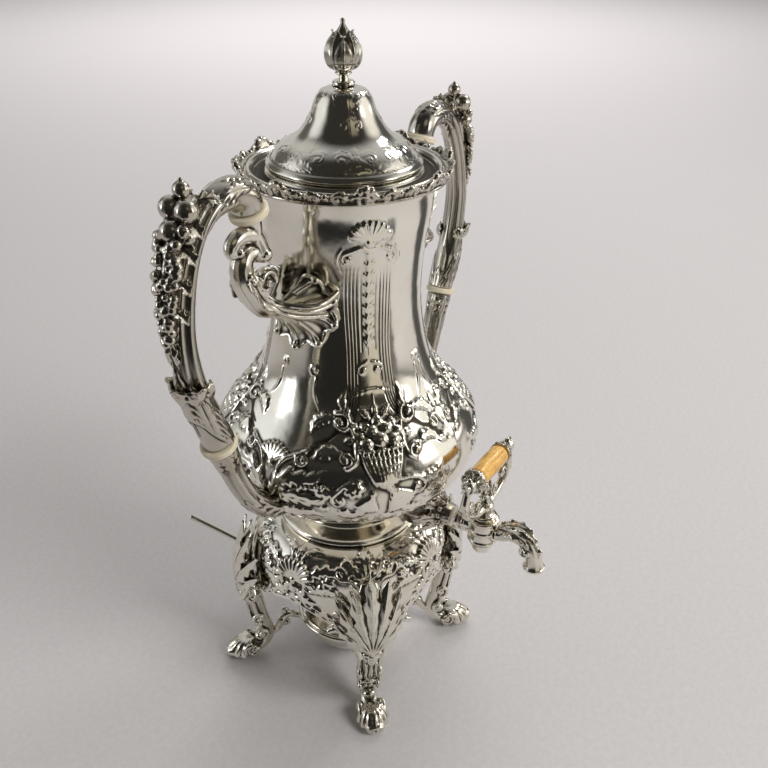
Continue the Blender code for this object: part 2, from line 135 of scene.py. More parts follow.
def make_mesh(name, points, quads, triangles=None):
    """A smooth-shaded mesh from millimetre points, turned right side out."""
    if triangles is None:
        triangles = np.zeros((0, 3), int)
    a, b, c = (points[quads[:, k]] for k in range(3))
    d = points[quads[:, 3]]
    volume = np.einsum("ij,ij->i", a, np.cross(b, c)).sum() + np.einsum("ij,ij->i", a, np.cross(c, d)).sum()
    if len(triangles):
        a, b, c = (points[triangles[:, k]] for k in range(3))
        volume += np.einsum("ij,ij->i", a, np.cross(b, c)).sum()
    if volume < 0:
        quads, triangles = quads[:, ::-1], triangles[:, ::-1]
    mesh = bpy.data.meshes.new(name)
    mesh.vertices.add(len(points))
    mesh.vertices.foreach_set("co", (points * MM).astype(np.float32).ravel())
    loops = np.concatenate([quads.ravel(), triangles.ravel()]).astype(np.int32)
    mesh.loops.add(len(loops))
    mesh.loops.foreach_set("vertex_index", loops)
    starts = np.concatenate([
        np.arange(len(quads)) * 4, len(quads) * 4 + np.arange(len(triangles)) * 3,
    ]).astype(np.int32)
    mesh.polygons.add(len(starts))
    mesh.polygons.foreach_set("loop_start", starts)
    mesh.update(calc_edges=True)
    mesh.validate()
    mesh.shade_smooth()
    return mesh


def mesh_patina(mesh, fine_steps=5, broad_steps=36):
    """How sunk each point lies among its neighbours, 0 on crests to 1 in creases, for the tarnish."""
    count = len(mesh.vertices)
    points = np.empty(count * 3, np.float32)
    mesh.vertices.foreach_get("co", points)
    points = points.reshape(-1, 3).astype(float) / MM
    normals = np.empty(count * 3, np.float32)
    mesh.vertices.foreach_get("normal", normals)
    normals = normals.reshape(-1, 3)
    edges = np.empty(len(mesh.edges) * 2, np.int32)
    mesh.edges.foreach_get("vertices", edges)
    a, b = edges.reshape(-1, 2).T
    ends, others = np.concatenate([a, b]), np.concatenate([b, a])
    degree = np.maximum(np.bincount(ends, minlength=count), 1)
    spread = points
    sunk = np.full(count, CAST_PATINA)
    for k in range(broad_steps):
        spread = np.stack([
            np.bincount(ends, spread[others, c], minlength=count) / degree for c in range(3)
        ], axis=1)
        if k + 1 == fine_steps:
            sunk += 2.2 * np.einsum("ij,ij->i", normals, spread - points)
    sunk += 0.42 * np.einsum("ij,ij->i", normals, spread - points)
    return np.clip(sunk, 0, 1)


def set_patina(mesh, values):
    layer = mesh.attributes.new("patina", "FLOAT", "POINT")
    layer.data.foreach_set("value", np.asarray(values, np.float32))


def place(name, mesh, finish, body, *replaced, turn=None, slot="silver"):
    """Links a piece, gives it its finish and its body, and hides the CAD nodes it stands for."""
    obj = bpy.data.objects.new(name, mesh)
    bpy.context.scene.collection.objects.link(obj)
    if not mesh.materials:
        mesh.materials.append(finish)
    if turn is not None:
        obj.rotation_euler = (0, 0, math.radians(turn))
    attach(obj, body)
    if replaced:
        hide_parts(*replaced)
    return obj


# ---------------------------------------------------------------- relief on a skin


class Skin:
    """A surface whose columns close round, with a chased relief raised along its normals.

    Rows run from the top down. A motif is placed at an angle (degrees) and a distance along the rows.
    """

    def __init__(self, grid):
        self.grid = grid
        self.rows, self.cols = grid.shape[:2]
        along = np.gradient(grid, axis=0)
        across = np.roll(grid, -1, 1) - np.roll(grid, 1, 1)
        normal = unit(np.cross(along, across))
        outward = grid - grid.mean(1, keepdims=True)
        self.normal = normal * np.sign((normal * outward).sum())
        self.radius = np.linalg.norm(np.roll(grid, -1, 1) - grid, axis=2).sum(1, keepdims=True) / TAU
        steps = np.linalg.norm(np.diff(grid, axis=0), axis=2)
        self.arc = np.concatenate([np.zeros((1, self.cols)), np.cumsum(steps, axis=0)])
        self.angle = TAU * np.arange(self.cols)[None] / self.cols
        self.high = np.zeros((self.rows, self.cols))
        self.sunk = np.zeros((self.rows, self.cols))

    def arc_at(self, z):
        heights = self.grid[:, 0, 2]
        return float(np.interp(-z, -heights, self.arc[:, 0]))

    def patch(self, angle, arc, reach, mirror=1, size=1.0):
        return Patch(self, math.radians(angle), arc - self.arc, reach, mirror, size)

    def edge_patch(self, angle, reach, mirror):
        """A patch whose y runs up from the last row."""
        return Patch(self, math.radians(angle), self.arc[-1:] - self.arc, reach, mirror, 1.0)

    def soften(self, times):
        """Melts the relief's edges a little, as chasing and years of polishing do."""
        for _ in range(times):
            beside = np.roll(self.high, 1, 1) + np.roll(self.high, -1, 1)
            over = np.vstack([self.high[:1], self.high[:-1]]) + np.vstack([self.high[1:], self.high[-1:]])
            self.high = 0.5 * self.high + 0.125 * (beside + over)

    def raised(self):
        return self.grid + self.normal * (self.high - self.sunk)[..., None]

    def patina(self, ground=0.0):
        """Tarnish from the relief itself: sunk beside raised work, bright on top of it."""
        near, far = self.high.copy(), self.high.copy()
        for k in range(40):
            far = (far + np.roll(far, 1, 1) + np.roll(far, -1, 1)
                   + np.vstack([far[:1], far[:-1]]) + np.vstack([far[1:], far[-1:]])) / 5
            if k == 3:
                near = far
        relief = 1.5 * (near - self.high) + 0.5 * (far - self.high)
        return np.clip(GROUND_PATINA + ground + relief + INK * self.sunk, 0, 1)


class Patch:
    """Motifs in millimetres on one place of a skin: x runs round it, y runs up it."""

    def __init__(self, skin, angle, height, reach, mirror, size):
        x = ((skin.angle - angle + math.pi) % TAU - math.pi) * skin.radius
        y = height + 0 * x
        self.inside = np.nonzero((np.abs(x) < reach) & (np.abs(y) < reach))
        self.x = x[self.inside] * mirror / size
        self.y = y[self.inside] / size
        self.skin = skin
        self.size = size

    def near(self, points, margin):
        points = np.asarray(points, float)
        low, top = points.min(0) - margin, points.max(0) + margin
        found = (self.x > low[0]) & (self.x < top[0]) & (self.y > low[1]) & (self.y < top[1])
        return np.nonzero(found)[0]

    def raise_to(self, where, height):
        rows, cols = self.inside[0][where], self.inside[1][where]
        self.skin.high[rows, cols] = np.maximum(self.skin.high[rows, cols], height * self.size)

    def along(self, points, margin):
        """(which, share of the line's length, signed distance from it) for the points near a line."""
        line = np.array(points, float)
        if len(line) > 2:
            line = spline(np.column_stack([line, np.zeros(len(line))]), step=0.9)[:, :2]
        where = self.near(line, margin)
        best = np.full(len(where), 1e9)
        share, side = np.zeros(len(where)), np.zeros(len(where))
        lengths = np.linalg.norm(np.diff(line, axis=0), axis=1)
        total, done = lengths.sum(), 0.0
        x, y = self.x[where], self.y[where]
        for (ax, ay), (bx, by), length in zip(line, line[1:], lengths):
            ux, uy = (bx - ax) / length, (by - ay) / length
            t = np.clip((x - ax) * ux + (y - ay) * uy, 0, length)
            dx, dy = x - ax - t * ux, y - ay - t * uy
            distance = np.hypot(dx, dy)
            closer = distance < best
            best[closer] = distance[closer]
            share[closer] = (done + t[closer]) / total
            side[closer] = (np.sign(ux * dy - uy * dx) * distance)[closer]
            done += length
        return where, share, side

    def dome(self, x, y, across, up=None, high=1.0, spin=0.0):
        up = across if up is None else up
        where = self.near([(x, y)], max(across, up))
        dx, dy = self.x[where] - x, self.y[where] - y
        c, s = math.cos(math.radians(spin)), math.sin(math.radians(spin))
        d = ((dx * c + dy * s) / across) ** 2 + ((dy * c - dx * s) / up) ** 2
        self.raise_to(where, high * np.sqrt(np.clip(1 - d, 0, None)))

    def ridge(self, points, width, high, thin_start=0.5, thin_end=0.25):
        """A round-backed ridge, thinner at its ends."""
        where, share, side = self.along(points, width)
        half = width / 2 * np.minimum(1, np.minimum(thin_start + share * 4, thin_end + (1 - share) * 2.5))
        body = np.sqrt(np.clip(1 - (side / half) ** 2, 0, None))
        self.raise_to(where, high * body * (half / (width / 2)))

    def cut(self, points, width, depth):
        """An engraved line, which holds the oxide."""
        where, share, side = self.along(points, width)
        groove = depth * np.clip(1 - (side / width) ** 2, 0, None) * np.minimum(1, 4 * share + 0.2)
        rows, cols = self.inside[0][where], self.inside[1][where]
        self.skin.sunk[rows, cols] = np.maximum(self.skin.sunk[rows, cols], groove * self.size)

    def leaf(self, points, width, high, lobes=5, notch=0.38, vein=0.3):
        """An acanthus leaf along a spine, with a sunk vein and ribs running into its lobes."""
        where, share, side = self.along(points, width * 1.1)
        body = np.sin(math.pi * np.clip(share * 0.92 + 0.08, 0, 1) ** 0.75) ** 0.7
        wing = np.abs(side) / (width / 2 * body + 0.05)
        phase = TAU * lobes * (share - 0.13 * np.minimum(wing, 1.2))
        lobe = 1 - notch * (0.5 + 0.5 * np.cos(phase)) ** 1.6
        ratio = wing / lobe
        shape = np.clip(1 - ratio ** 2.2, 0, None) ** 0.6
        ribs = 0.90 - 0.10 * np.cos(phase) * np.minimum(wing, 1)
        shape = shape * ribs * (1 - vein * np.exp(-(side / (0.045 * width + 0.22)) ** 2))
        self.raise_to(where, high * shape * (0.45 + 0.55 * np.sin(math.pi * np.clip(share + 0.12, 0,
                                                                                    1)) ** 0.6))

    def spiral(self, x, y, radius, high, width, turns=1.25, start=90.0, way=1, tail=None):
        """A scroll that winds in to an eye. The tail gives points that lead up to it."""
        line = [] if tail is None else list(tail)
        count = int(14 * turns)
        for k in range(count + 1):
            t = k / count
            angle = math.radians(start) + way * TAU * turns * t
            r = radius * (1 - 0.78 * t)
            line.append((x + r * math.cos(angle), y + r * math.sin(angle)))
        self.ridge(line, width, high, thin_start=0.4, thin_end=0.6)
        self.dome(x, y, radius * 0.34, high=high * 1.15)

    def rosette(self, x, y, radius, high, petals=6, spin=0.0):
        for k in range(petals):
            angle = TAU * k / petals + math.radians(spin)
            self.dome(
                x + 0.6 * radius * math.cos(angle), y + 0.6 * radius * math.sin(angle),
                0.46 * radius, 0.36 * radius, high * 0.8, math.degrees(angle),
            )
        self.dome(x, y, radius * 0.3, high=high)

    def fan(self, x, y, radius, high, lobes=9, aim=90.0, spread=160.0, inner=0.2):
        """A shell of lobes opening from one point."""
        where = self.near([(x, y)], radius * 1.15)
        dx, dy = self.x[where] - x, self.y[where] - y
        r = np.hypot(dx, dy) / radius
        swing = (np.arctan2(dy, dx) - math.radians(aim) + math.pi) % TAU - math.pi
        share = swing / math.radians(spread) + 0.5
        wave = np.abs(np.sin(math.pi * lobes * share))
        limit = 0.86 + 0.14 * wave ** 0.6
        body = np.clip((limit - r) / 0.1, 0, 1) ** 0.5 * np.clip((r - inner * 0.4) / 0.12, 0, 1)
        shape = body * (0.32 + 0.68 * wave ** 0.7) * (0.45 + 0.55 * np.clip(r, 0, 1))
        shape[(share < 0) | (share > 1)] = 0
        self.raise_to(where, high * shape)
        self.dome(x, y, radius * inner, high=high * 0.8)


def revolve(profile, cols):
    """A grid from a (radius, z) profile."""
    angle = TAU * np.arange(cols) / cols
    around = np.stack([np.cos(angle), np.sin(angle)], -1)
    flat = profile[:, 0, None, None] * around[None]
    return np.concatenate([flat, np.broadcast_to(profile[:, 1, None, None], flat.shape[:2] + (1,))], -1)


def shift_profile(profile, distance):
    """The profile moved inward square to itself."""
    along = unit(np.gradient(profile, axis=0))
    return profile + np.stack([along[:, 1], -along[:, 0]], 1) * distance


def place_rings(name, skin, inner, cuts, finish, body, *replaced):
    """Closed rings cut from a raised skin, so that no mesh is too heavy. Normals come from the whole skin."""
    raised = skin.raised()
    along = np.gradient(raised, axis=0)
    across = np.roll(raised, -1, 1) - np.roll(raised, 1, 1)
    normal = unit(np.cross(along, across))
    normal *= np.sign((normal * skin.normal).sum())
    patina = skin.patina()
    edges = [0] + cuts + [skin.rows - 1]
    for k, (top, low) in enumerate(zip(edges, edges[1:])):
        back = inner[top:low + 1:6][::-1] if low - top > 6 else inner[top:low + 1][::-1]
        back = np.concatenate([inner[low:low + 1], back[1:-1], inner[top:top + 1]])
        grid = np.concatenate([raised[top:low + 1], back])
        points = grid.reshape(-1, 3)
        mesh = make_mesh(f"{name}_{k}", points, grid_quads(len(grid), skin.cols, closed_rows=True))
        outer = (low + 1 - top) * skin.cols
        values = np.full(len(points), INNER_PATINA)
        values[:outer] = patina[top:low + 1].ravel()
        set_patina(mesh, values)
        all_normals = np.zeros((len(points), 3))
        all_normals[:outer] = normal[top:low + 1].reshape(-1, 3)
        mesh.normals_split_custom_set_from_vertices(all_normals.tolist())
        place(f"{name}_{k}", mesh, finish, body, *(replaced if k == 0 else ()))


# ---------------------------------------------------------------- cast pieces


def path_frames(line, side):
    """(tangent, side, up) at each point of a line, with the side kept as near as can be to the given one."""
    along = unit(np.gradient(line, axis=0))
    across = np.broadcast_to(np.array(side, float), line.shape)
    across = unit(across - (across * along).sum(1, keepdims=True) * along)
    return along, across, np.cross(along, across)


class Clay:
    """Closed lumps laid over each other, then fused into one casting with soft creases."""

    def __init__(self):
        self.points, self.quads, self.triangles, self.count = [], [], [], 0

    def lump(self, grid):
        points, quads, triangles = capped(grid)
        self.points.append(points)
        self.quads.append(quads + self.count)
        self.triangles.append(triangles + self.count)
        self.count += len(points)

    def ball(self, centre, radii):
        radii = np.broadcast_to(np.array(radii, float), 3)
        lat = np.linspace(0.12, math.pi - 0.12, 10)[:, None]
        lon = TAU * np.arange(14)[None] / 14
        grid = np.stack([
            np.sin(lat) * np.cos(lon), np.sin(lat) * np.sin(lon), np.cos(lat) + 0 * lon,
        ], -1) * radii
        self.lump(grid + np.array(centre, float))

    def tube(self, line, side=(0, 1, 0), sides=12, step=1.0):
        """A swept oval through (x, y, z, radius) or (x, y, z, radius along side, radius across it)."""
        line = np.array(line, float)
        if line.shape[1] == 4:
            line = np.column_stack([line, line[:, 3]])
        if len(line) > 2:
            line = spline(line, step)
        centre, wide, deep = line[:, :3], line[:, 3], line[:, 4]
        _, across, up = path_frames(centre, side)
        angle = TAU * np.arange(sides) / sides
        grid = centre[:, None] + across[:, None] * (np.cos(angle) * wide[:, None])[..., None]
        grid = grid + up[:, None] * (np.sin(angle) * deep[:, None])[..., None]
        self.lump(grid)

    def scroll(self, centre, radius, thick, turns=1.3, start=0.0, way=1, width=None, plane=((1, 0, 0),
                                                                                            (0, 0, 1)),
               lead=()):
        """A volute in a plane, winding in to a round eye. The lead gives (x, y, z, radius) points first."""
        u, v = (np.array(axis, float) for axis in plane)
        side = np.cross(u, v)
        width = thick if width is None else width
        line = [tuple(point) for point in lead]
        count = int(12 * turns)
        for k in range(count + 1):
            t = k / count
            angle = math.radians(start) + way * TAU * turns * t
            r = radius * (1 - 0.72 * t)
            spot = np.array(centre, float) + r * (math.cos(angle) * u + math.sin(angle) * v)
            line.append((*spot, width * (1 - 0.25 * t), thick * (1 - 0.45 * t)))
        line = [point if len(point) == 5 else (*point[:4], point[3]) for point in line]
        self.tube(line, side=side)
        self.tube([(*(np.array(centre, float) - side * width * 1.1), radius * 0.3),
                   (*(np.array(centre, float) + side * width * 1.1), radius * 0.3)], side=u)

    def leaf(self, spine, width, side, thick=1.1, lobes=5, notch=0.45, cup=0.25, ribs=0.5, tip=0.12,
             full=0.8):
        """A lobed leaf standing on a spine: a closed sheet with a sunk vein, ribs and turned edges."""
        spine = spline(spine, count=56)
        _, across, up = path_frames(spine[:, :3], side)
        share = np.linspace(0, 1, len(spine))[:, None]
        u = np.linspace(-1, 1, 23)[None]
        body = np.sin(math.pi * (tip + (1 - tip) * share) ** full) ** 0.65
        wave = 0.5 + 0.5 * np.cos(TAU * lobes * (share - 0.16 * np.abs(u)))
        reach = width / 2 * body * (1 - notch * wave * np.abs(u) ** 1.5)
        rise = cup * width / 2 * body * np.abs(u) ** 1.6 - ribs * (wave - 0.5) * np.abs(u) ** 0.7
        rise = rise - ribs * 1.1 * np.exp(-(u / 0.13) ** 2)
        face = spine[:, None, :3] + across[:, None] * (reach * u)[..., None] + up[:, None] * rise[..., None]
        thin = thick * (1 - 0.45 * np.abs(u) ** 3) * (0.5 + 0.5 * np.sin(math.pi * np.clip(share + 0.1, 0,
                                                                                           1)))
        back = face - up[:, None] * thin[..., None]
        self.lump(np.concatenate([face, back[:, ::-1]], axis=1))

    def cast(self, name, voxel=0.5, smooth=2):
        """One closed mesh of everything laid so far."""
        mesh = make_mesh(
            name, np.concatenate(self.points), np.concatenate(self.quads), np.concatenate(self.triangles)
        )
        lump = bpy.data.objects.new(name + "_clay", mesh)
        bpy.context.scene.collection.objects.link(lump)
        fuse = lump.modifiers.new("fuse", "REMESH")
        fuse.mode = "VOXEL"
        fuse.voxel_size = voxel * MM
        soften = lump.modifiers.new("soften", "SMOOTH")
        soften.factor = 0.5
        soften.iterations = smooth
        graph = bpy.context.evaluated_depsgraph_get()
        made = bpy.data.meshes.new_from_object(lump.evaluated_get(graph))
        made.name = name
        bpy.data.objects.remove(lump, do_unlink=True)
        bpy.data.meshes.remove(mesh)
        made.shade_smooth()
        set_patina(made, mesh_patina(made))
        return made


def mirrored(mesh, name):
    """A copy on the other side of X = 0."""
    made = mesh.copy()
    made.name = name
    made.transform(Matrix.Diagonal((-1, 1, 1, 1)))
    made.flip_normals()
    return made


# ---------------------------------------------------------------- materials


def node_setup(name):
    made = bpy.data.materials.new(name)
    made.use_nodes = True
    tree = made.node_tree
    return made, tree, tree.nodes["Principled BSDF"]


def add_node(tree, kind, inputs=None, **settings):
    """A node whose inputs are joined to sockets or set to values."""
    made = tree.nodes.new(kind)
    for key, value in settings.items():
        setattr(made, key, value)
    for key, value in (inputs or {}).items():
        if isinstance(value, bpy.types.NodeSocket):
            tree.links.new(value, made.inputs[key])
        else:
            made.inputs[key].default_value = value
    return made


def noise(tree, vector, scale, detail=4.0, rough=0.55, distortion=0.0):
    return add_node(
        tree, "ShaderNodeTexNoise",
        {"Vector": vector, "Scale": scale, "Detail": detail, "Roughness": rough, "Distortion": distortion},
    ).outputs["Fac"]


def ramp(tree, value, low, high, to_low=0.0, to_high=1.0):
    return add_node(
        tree, "ShaderNodeMapRange",
        {"Value": value, "From Min": low, "From Max": high, "To Min": to_low, "To Max": to_high},
        interpolation_type="SMOOTHSTEP",
    ).outputs["Result"]


def mix_colour(tree, share, first, second):
    inputs = {0: share, 6: first, 7: second}
    return add_node(tree, "ShaderNodeMix", inputs, data_type="RGBA", blend_type="MIX").outputs[2]


def maths(tree, operation, *values):
    return add_node(tree, "ShaderNodeMath", dict(enumerate(values)), operation=operation).outputs[0]


BRIGHT_SILVER = (0.90, 0.87, 0.79)
OXIDE = (0.085, 0.072, 0.058)
WARM_FILM = (0.80, 0.72, 0.58)


def silver(name, bright=BRIGHT_SILVER, tarnish=0.0, rough=0.075, wave=0.05):
    """Polished silver: oxide in the creases, a faint brown film in clouds, hairline wear and soft waves."""
    made, tree, shader = node_setup(name)
    where = add_node(tree, "ShaderNodeTexCoord").outputs["Object"]
    sunk = add_node(tree, "ShaderNodeAttribute", attribute_name="patina").outputs["Fac"]
    cloud = noise(tree, where, 38, 5, 0.6, 0.4)
    speck = noise(tree, where, 900, 3, 0.6)
    uneven = maths(tree, "MULTIPLY_ADD", cloud, 0.30, -0.15)
    depth = maths(tree, "ADD", sunk, uneven)
    dark = ramp(tree, depth, 0.50 - tarnish, 0.95 - tarnish)
    film = ramp(tree, cloud, 0.42, 0.74, 0.0, 0.45)
    filmed = [part * warm for part, warm in zip(bright, WARM_FILM)]
    colour = mix_colour(tree, film, (*bright, 1), (*filmed, 1))
    colour = mix_colour(tree, dark, colour, (*OXIDE, 1))
    tree.links.new(colour, shader.inputs["Base Color"])
    shader.inputs["Metallic"].default_value = 1.0
    haze = ramp(tree, cloud, 0.3, 0.8, rough, rough + 0.07)
    speckle = maths(tree, "MULTIPLY", speck, 0.04)
    haze = maths(tree, "ADD", haze, speckle)
    worn = maths(tree, "MULTIPLY", dark, 0.34)
    tree.links.new(maths(tree, "ADD", haze, worn), shader.inputs["Roughness"])
    stretched = add_node(
        tree, "ShaderNodeMapping", {"Vector": where, "Scale": (1.0, 1.0, 7.0)}
    ).outputs["Vector"]
    hairline = noise(tree, stretched, 700, 3, 0.7)
    ripple = noise(tree, where, 95, 2, 0.4)
    hairs = add_node(
        tree, "ShaderNodeBump", {"Height": hairline, "Strength": 0.045, "Distance": 0.0002}
    ).outputs["Normal"]
    waves = add_node(
        tree, "ShaderNodeBump", {"Height": ripple, "Strength": wave, "Distance": 0.004, "Normal": hairs}
    ).outputs["Normal"]
    tree.links.new(waves, shader.inputs["Normal"])
    return made


def ivory(name, pale, deep, grain_scale, grain=0.35, rough=0.3):
    """Turned ivory: long grain and cloudy tone, with a waxy sheen."""
    made, tree, shader = node_setup(name)
    where = add_node(tree, "ShaderNodeTexCoord").outputs["Object"]
    stretched = add_node(
        tree, "ShaderNodeMapping", {"Vector": where, "Scale": grain_scale}
    ).outputs["Vector"]
    grain_lines = noise(tree, stretched, 420, 4, 0.6, 0.6)
    cloud = noise(tree, where, 130, 3, 0.5)
    share = maths(tree, "ADD", ramp(tree, grain_lines, 0.38, 0.72, 0.0, grain), ramp(tree, cloud, 0.35,
                                                                                     0.75, 0.0, 0.4))
    colour = mix_colour(tree, share, (*pale, 1), (*deep, 1))
    tree.links.new(colour, shader.inputs["Base Color"])
    tree.links.new(ramp(tree, cloud, 0.3, 0.7, rough, rough + 0.14), shader.inputs["Roughness"])
    shader.inputs["Subsurface Weight"].default_value = 0.12
    shader.inputs["Subsurface Radius"].default_value = (0.004, 0.0025, 0.001)
    shader.inputs["Coat Weight"].default_value = 0.25
    shader.inputs["Coat Roughness"].default_value = 0.2
    bump = add_node(
        tree, "ShaderNodeBump", {"Height": grain_lines, "Strength": 0.10, "Distance": 0.0002}
    ).outputs["Normal"]
    tree.links.new(bump, shader.inputs["Normal"])
    return made


def cotton(name):
    """A plaited wick with a scorched tip."""
    made, tree, shader = node_setup(name)
    where = add_node(tree, "ShaderNodeTexCoord").outputs["Object"]
    plait = add_node(
        tree, "ShaderNodeTexWave", {"Vector": where, "Scale": 900.0, "Distortion": 3.0, "Detail": 2.0},
        wave_type="BANDS", bands_direction="DIAGONAL",
    ).outputs["Fac"]
    height = add_node(tree, "ShaderNodeSeparateXYZ", {"Vector": where}).outputs["Z"]
    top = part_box("wick")[1].z
    scorch = ramp(tree, height, top - 0.003, top + 0.001)
    colour = mix_colour(tree, plait, (0.62, 0.57, 0.47, 1), (0.86, 0.82, 0.74, 1))
    colour = mix_colour(tree, scorch, colour, (0.05, 0.04, 0.035, 1))
    tree.links.new(colour, shader.inputs["Base Color"])
    shader.inputs["Roughness"].default_value = 0.95
    bump = add_node(
        tree, "ShaderNodeBump", {"Height": plait, "Strength": 0.6, "Distance": 0.0005}
    ).outputs["Normal"]
    tree.links.new(bump, shader.inputs["Normal"])
    return made


SILVER = silver("chased_silver")
PLAIN = silver("polished_silver", tarnish=-0.08, rough=0.06, wave=0.04)
CAST = silver("cast_silver", (0.82, 0.79, 0.71), tarnish=0.11, rough=0.12, wave=0.03)
# A dimmer copy of the silver for the handle bars, lower sockets and finial. Its dimmer base colour is painted
# shade, standing in for the darker reflections these parts show. Its heavier tarnish in the creases is real
# oxide.
SHADED_TARNISHED = silver("shaded_tarnished_silver", (0.60, 0.57, 0.51), tarnish=0.19, rough=0.13, wave=0.03)
# A darker copy of the silver, with heavier oxide in the creases. Its darker base colour also paints the shade
# on the rim crest, which sits in the mouth's shadow.
OXIDISED_SHADED = silver("oxidised_silver", (0.64, 0.60, 0.53), tarnish=0.18, rough=0.16, wave=0.03)
IVORY = ivory("ivory", (0.83, 0.76, 0.60), (0.62, 0.50, 0.31), (1.0, 1.0, 5.0))
AMBER = ivory("amber_ivory", (0.90, 0.56, 0.13), (0.52, 0.22, 0.04), (0.35, 4.0, 4.0), 0.8, 0.24)
COTTON = cotton("cotton")

# ---------------------------------------------------------------- the vessel

# The outlines of the vessel and the lid, as the CAD has them: (radius, z)
VESSEL_OUTLINE = [
    (52.2, 346.5), (50.6, 343), (48.6, 338), (46.6, 325), (44.6, 310), (43, 295), (42.4, 280),
    (43.3, 265), (45.8, 250), (50.3, 235), (55.7, 225), (63, 215), (71, 205.5), (76.8, 196),
    (78.8, 187), (78.2, 177), (73.5, 167), (65, 158.5), (54, 150.5), (46, 145), (40, 140.5),
    (34.5, 136), (30, 134.7), (15, 134.6), (0.03, 134.6),
]
LID_OUTLINE = [
    (6, 388), (11, 386.5), (13.5, 384), (15.5, 380), (17.5, 375), (20.5, 370), (24.5, 365),
    (30, 361.5), (35, 358), (38.5, 354), (40.8, 351.3), (41.2, 349.6), (40.2, 348.2),
]
# Each panel's angle, and whether it is mirrored
PANELS = [(-129.5, 1), (-50.5, -1), (50.5, 1), (129.5, -1)]
VESSEL_SKIN_PROUD = 0.12
VESSEL_WALL = 1.5
VESSEL_COLUMNS = 720
VESSEL_CUT_HEIGHTS = (290, 243, 210, 180, 157)
LID_COLUMNS = 520
LID_WALL = 1.45
LID_RELIEF = 0.42
AXIS_GAP = 0.02


def neck_panel(skin, angle, mirror):
    """The engraved pilaster on the neck: a shell on top, a husk chain and bundles of fine lines."""
    level = skin.arc_at(285)
    p = skin.patch(angle, level, 75, mirror)
    top = level - skin.arc_at(321)
    p.fan(0, top, 12.5, 1.1, lobes=9, aim=90, spread=150)
    p.ridge([(-9, top - 5), (-4, top - 2.5), (0, top - 4), (4, top - 2.5), (9, top - 5)], 1.5, 0.7)
    for side in (-1, 1):
        p.spiral(side * 11.6, top - 8.5, 3.4, 0.8, 1.3, turns=1.2, start=90, way=-side,
                 tail=flip(side, (3, top - 3), (7, top - 3.2)))
        p.ridge(flip(side, (14.5, top - 3), (17, top - 9), (14, top - 16)), 1.1, 0.5)
        for k in range(4):
            x = side * (6.4 + 1.9 * k)
            p.cut([(x, top - 13), (x, -4), (x * 0.95, -24), (x * 1.05, -44 - 1.5 * k)], 0.62, 0.26)
        p.cut(flip(side, (4.2, top - 15), (4.0, -26)), 0.5, 0.16)
    for k in range(9):
        y = top - 7 - 6.2 * k
        p.leaf([(0, y + 2.6), (0, y - 3.4)], 4.6, 0.75, lobes=2, notch=0.25)
        for side in (-1, 1):
            p.leaf(flip(side, (0.6, y), (3.0, y + 2.6)), 2.0, 0.55, lobes=1, notch=0.1, vein=0.2)
    for side in (-1, 1):
        p.spiral(side * 4.2, -36.5, 3.0, 0.8, 1.2, turns=1.1, start=90, way=-side, tail=[(0, -31)])


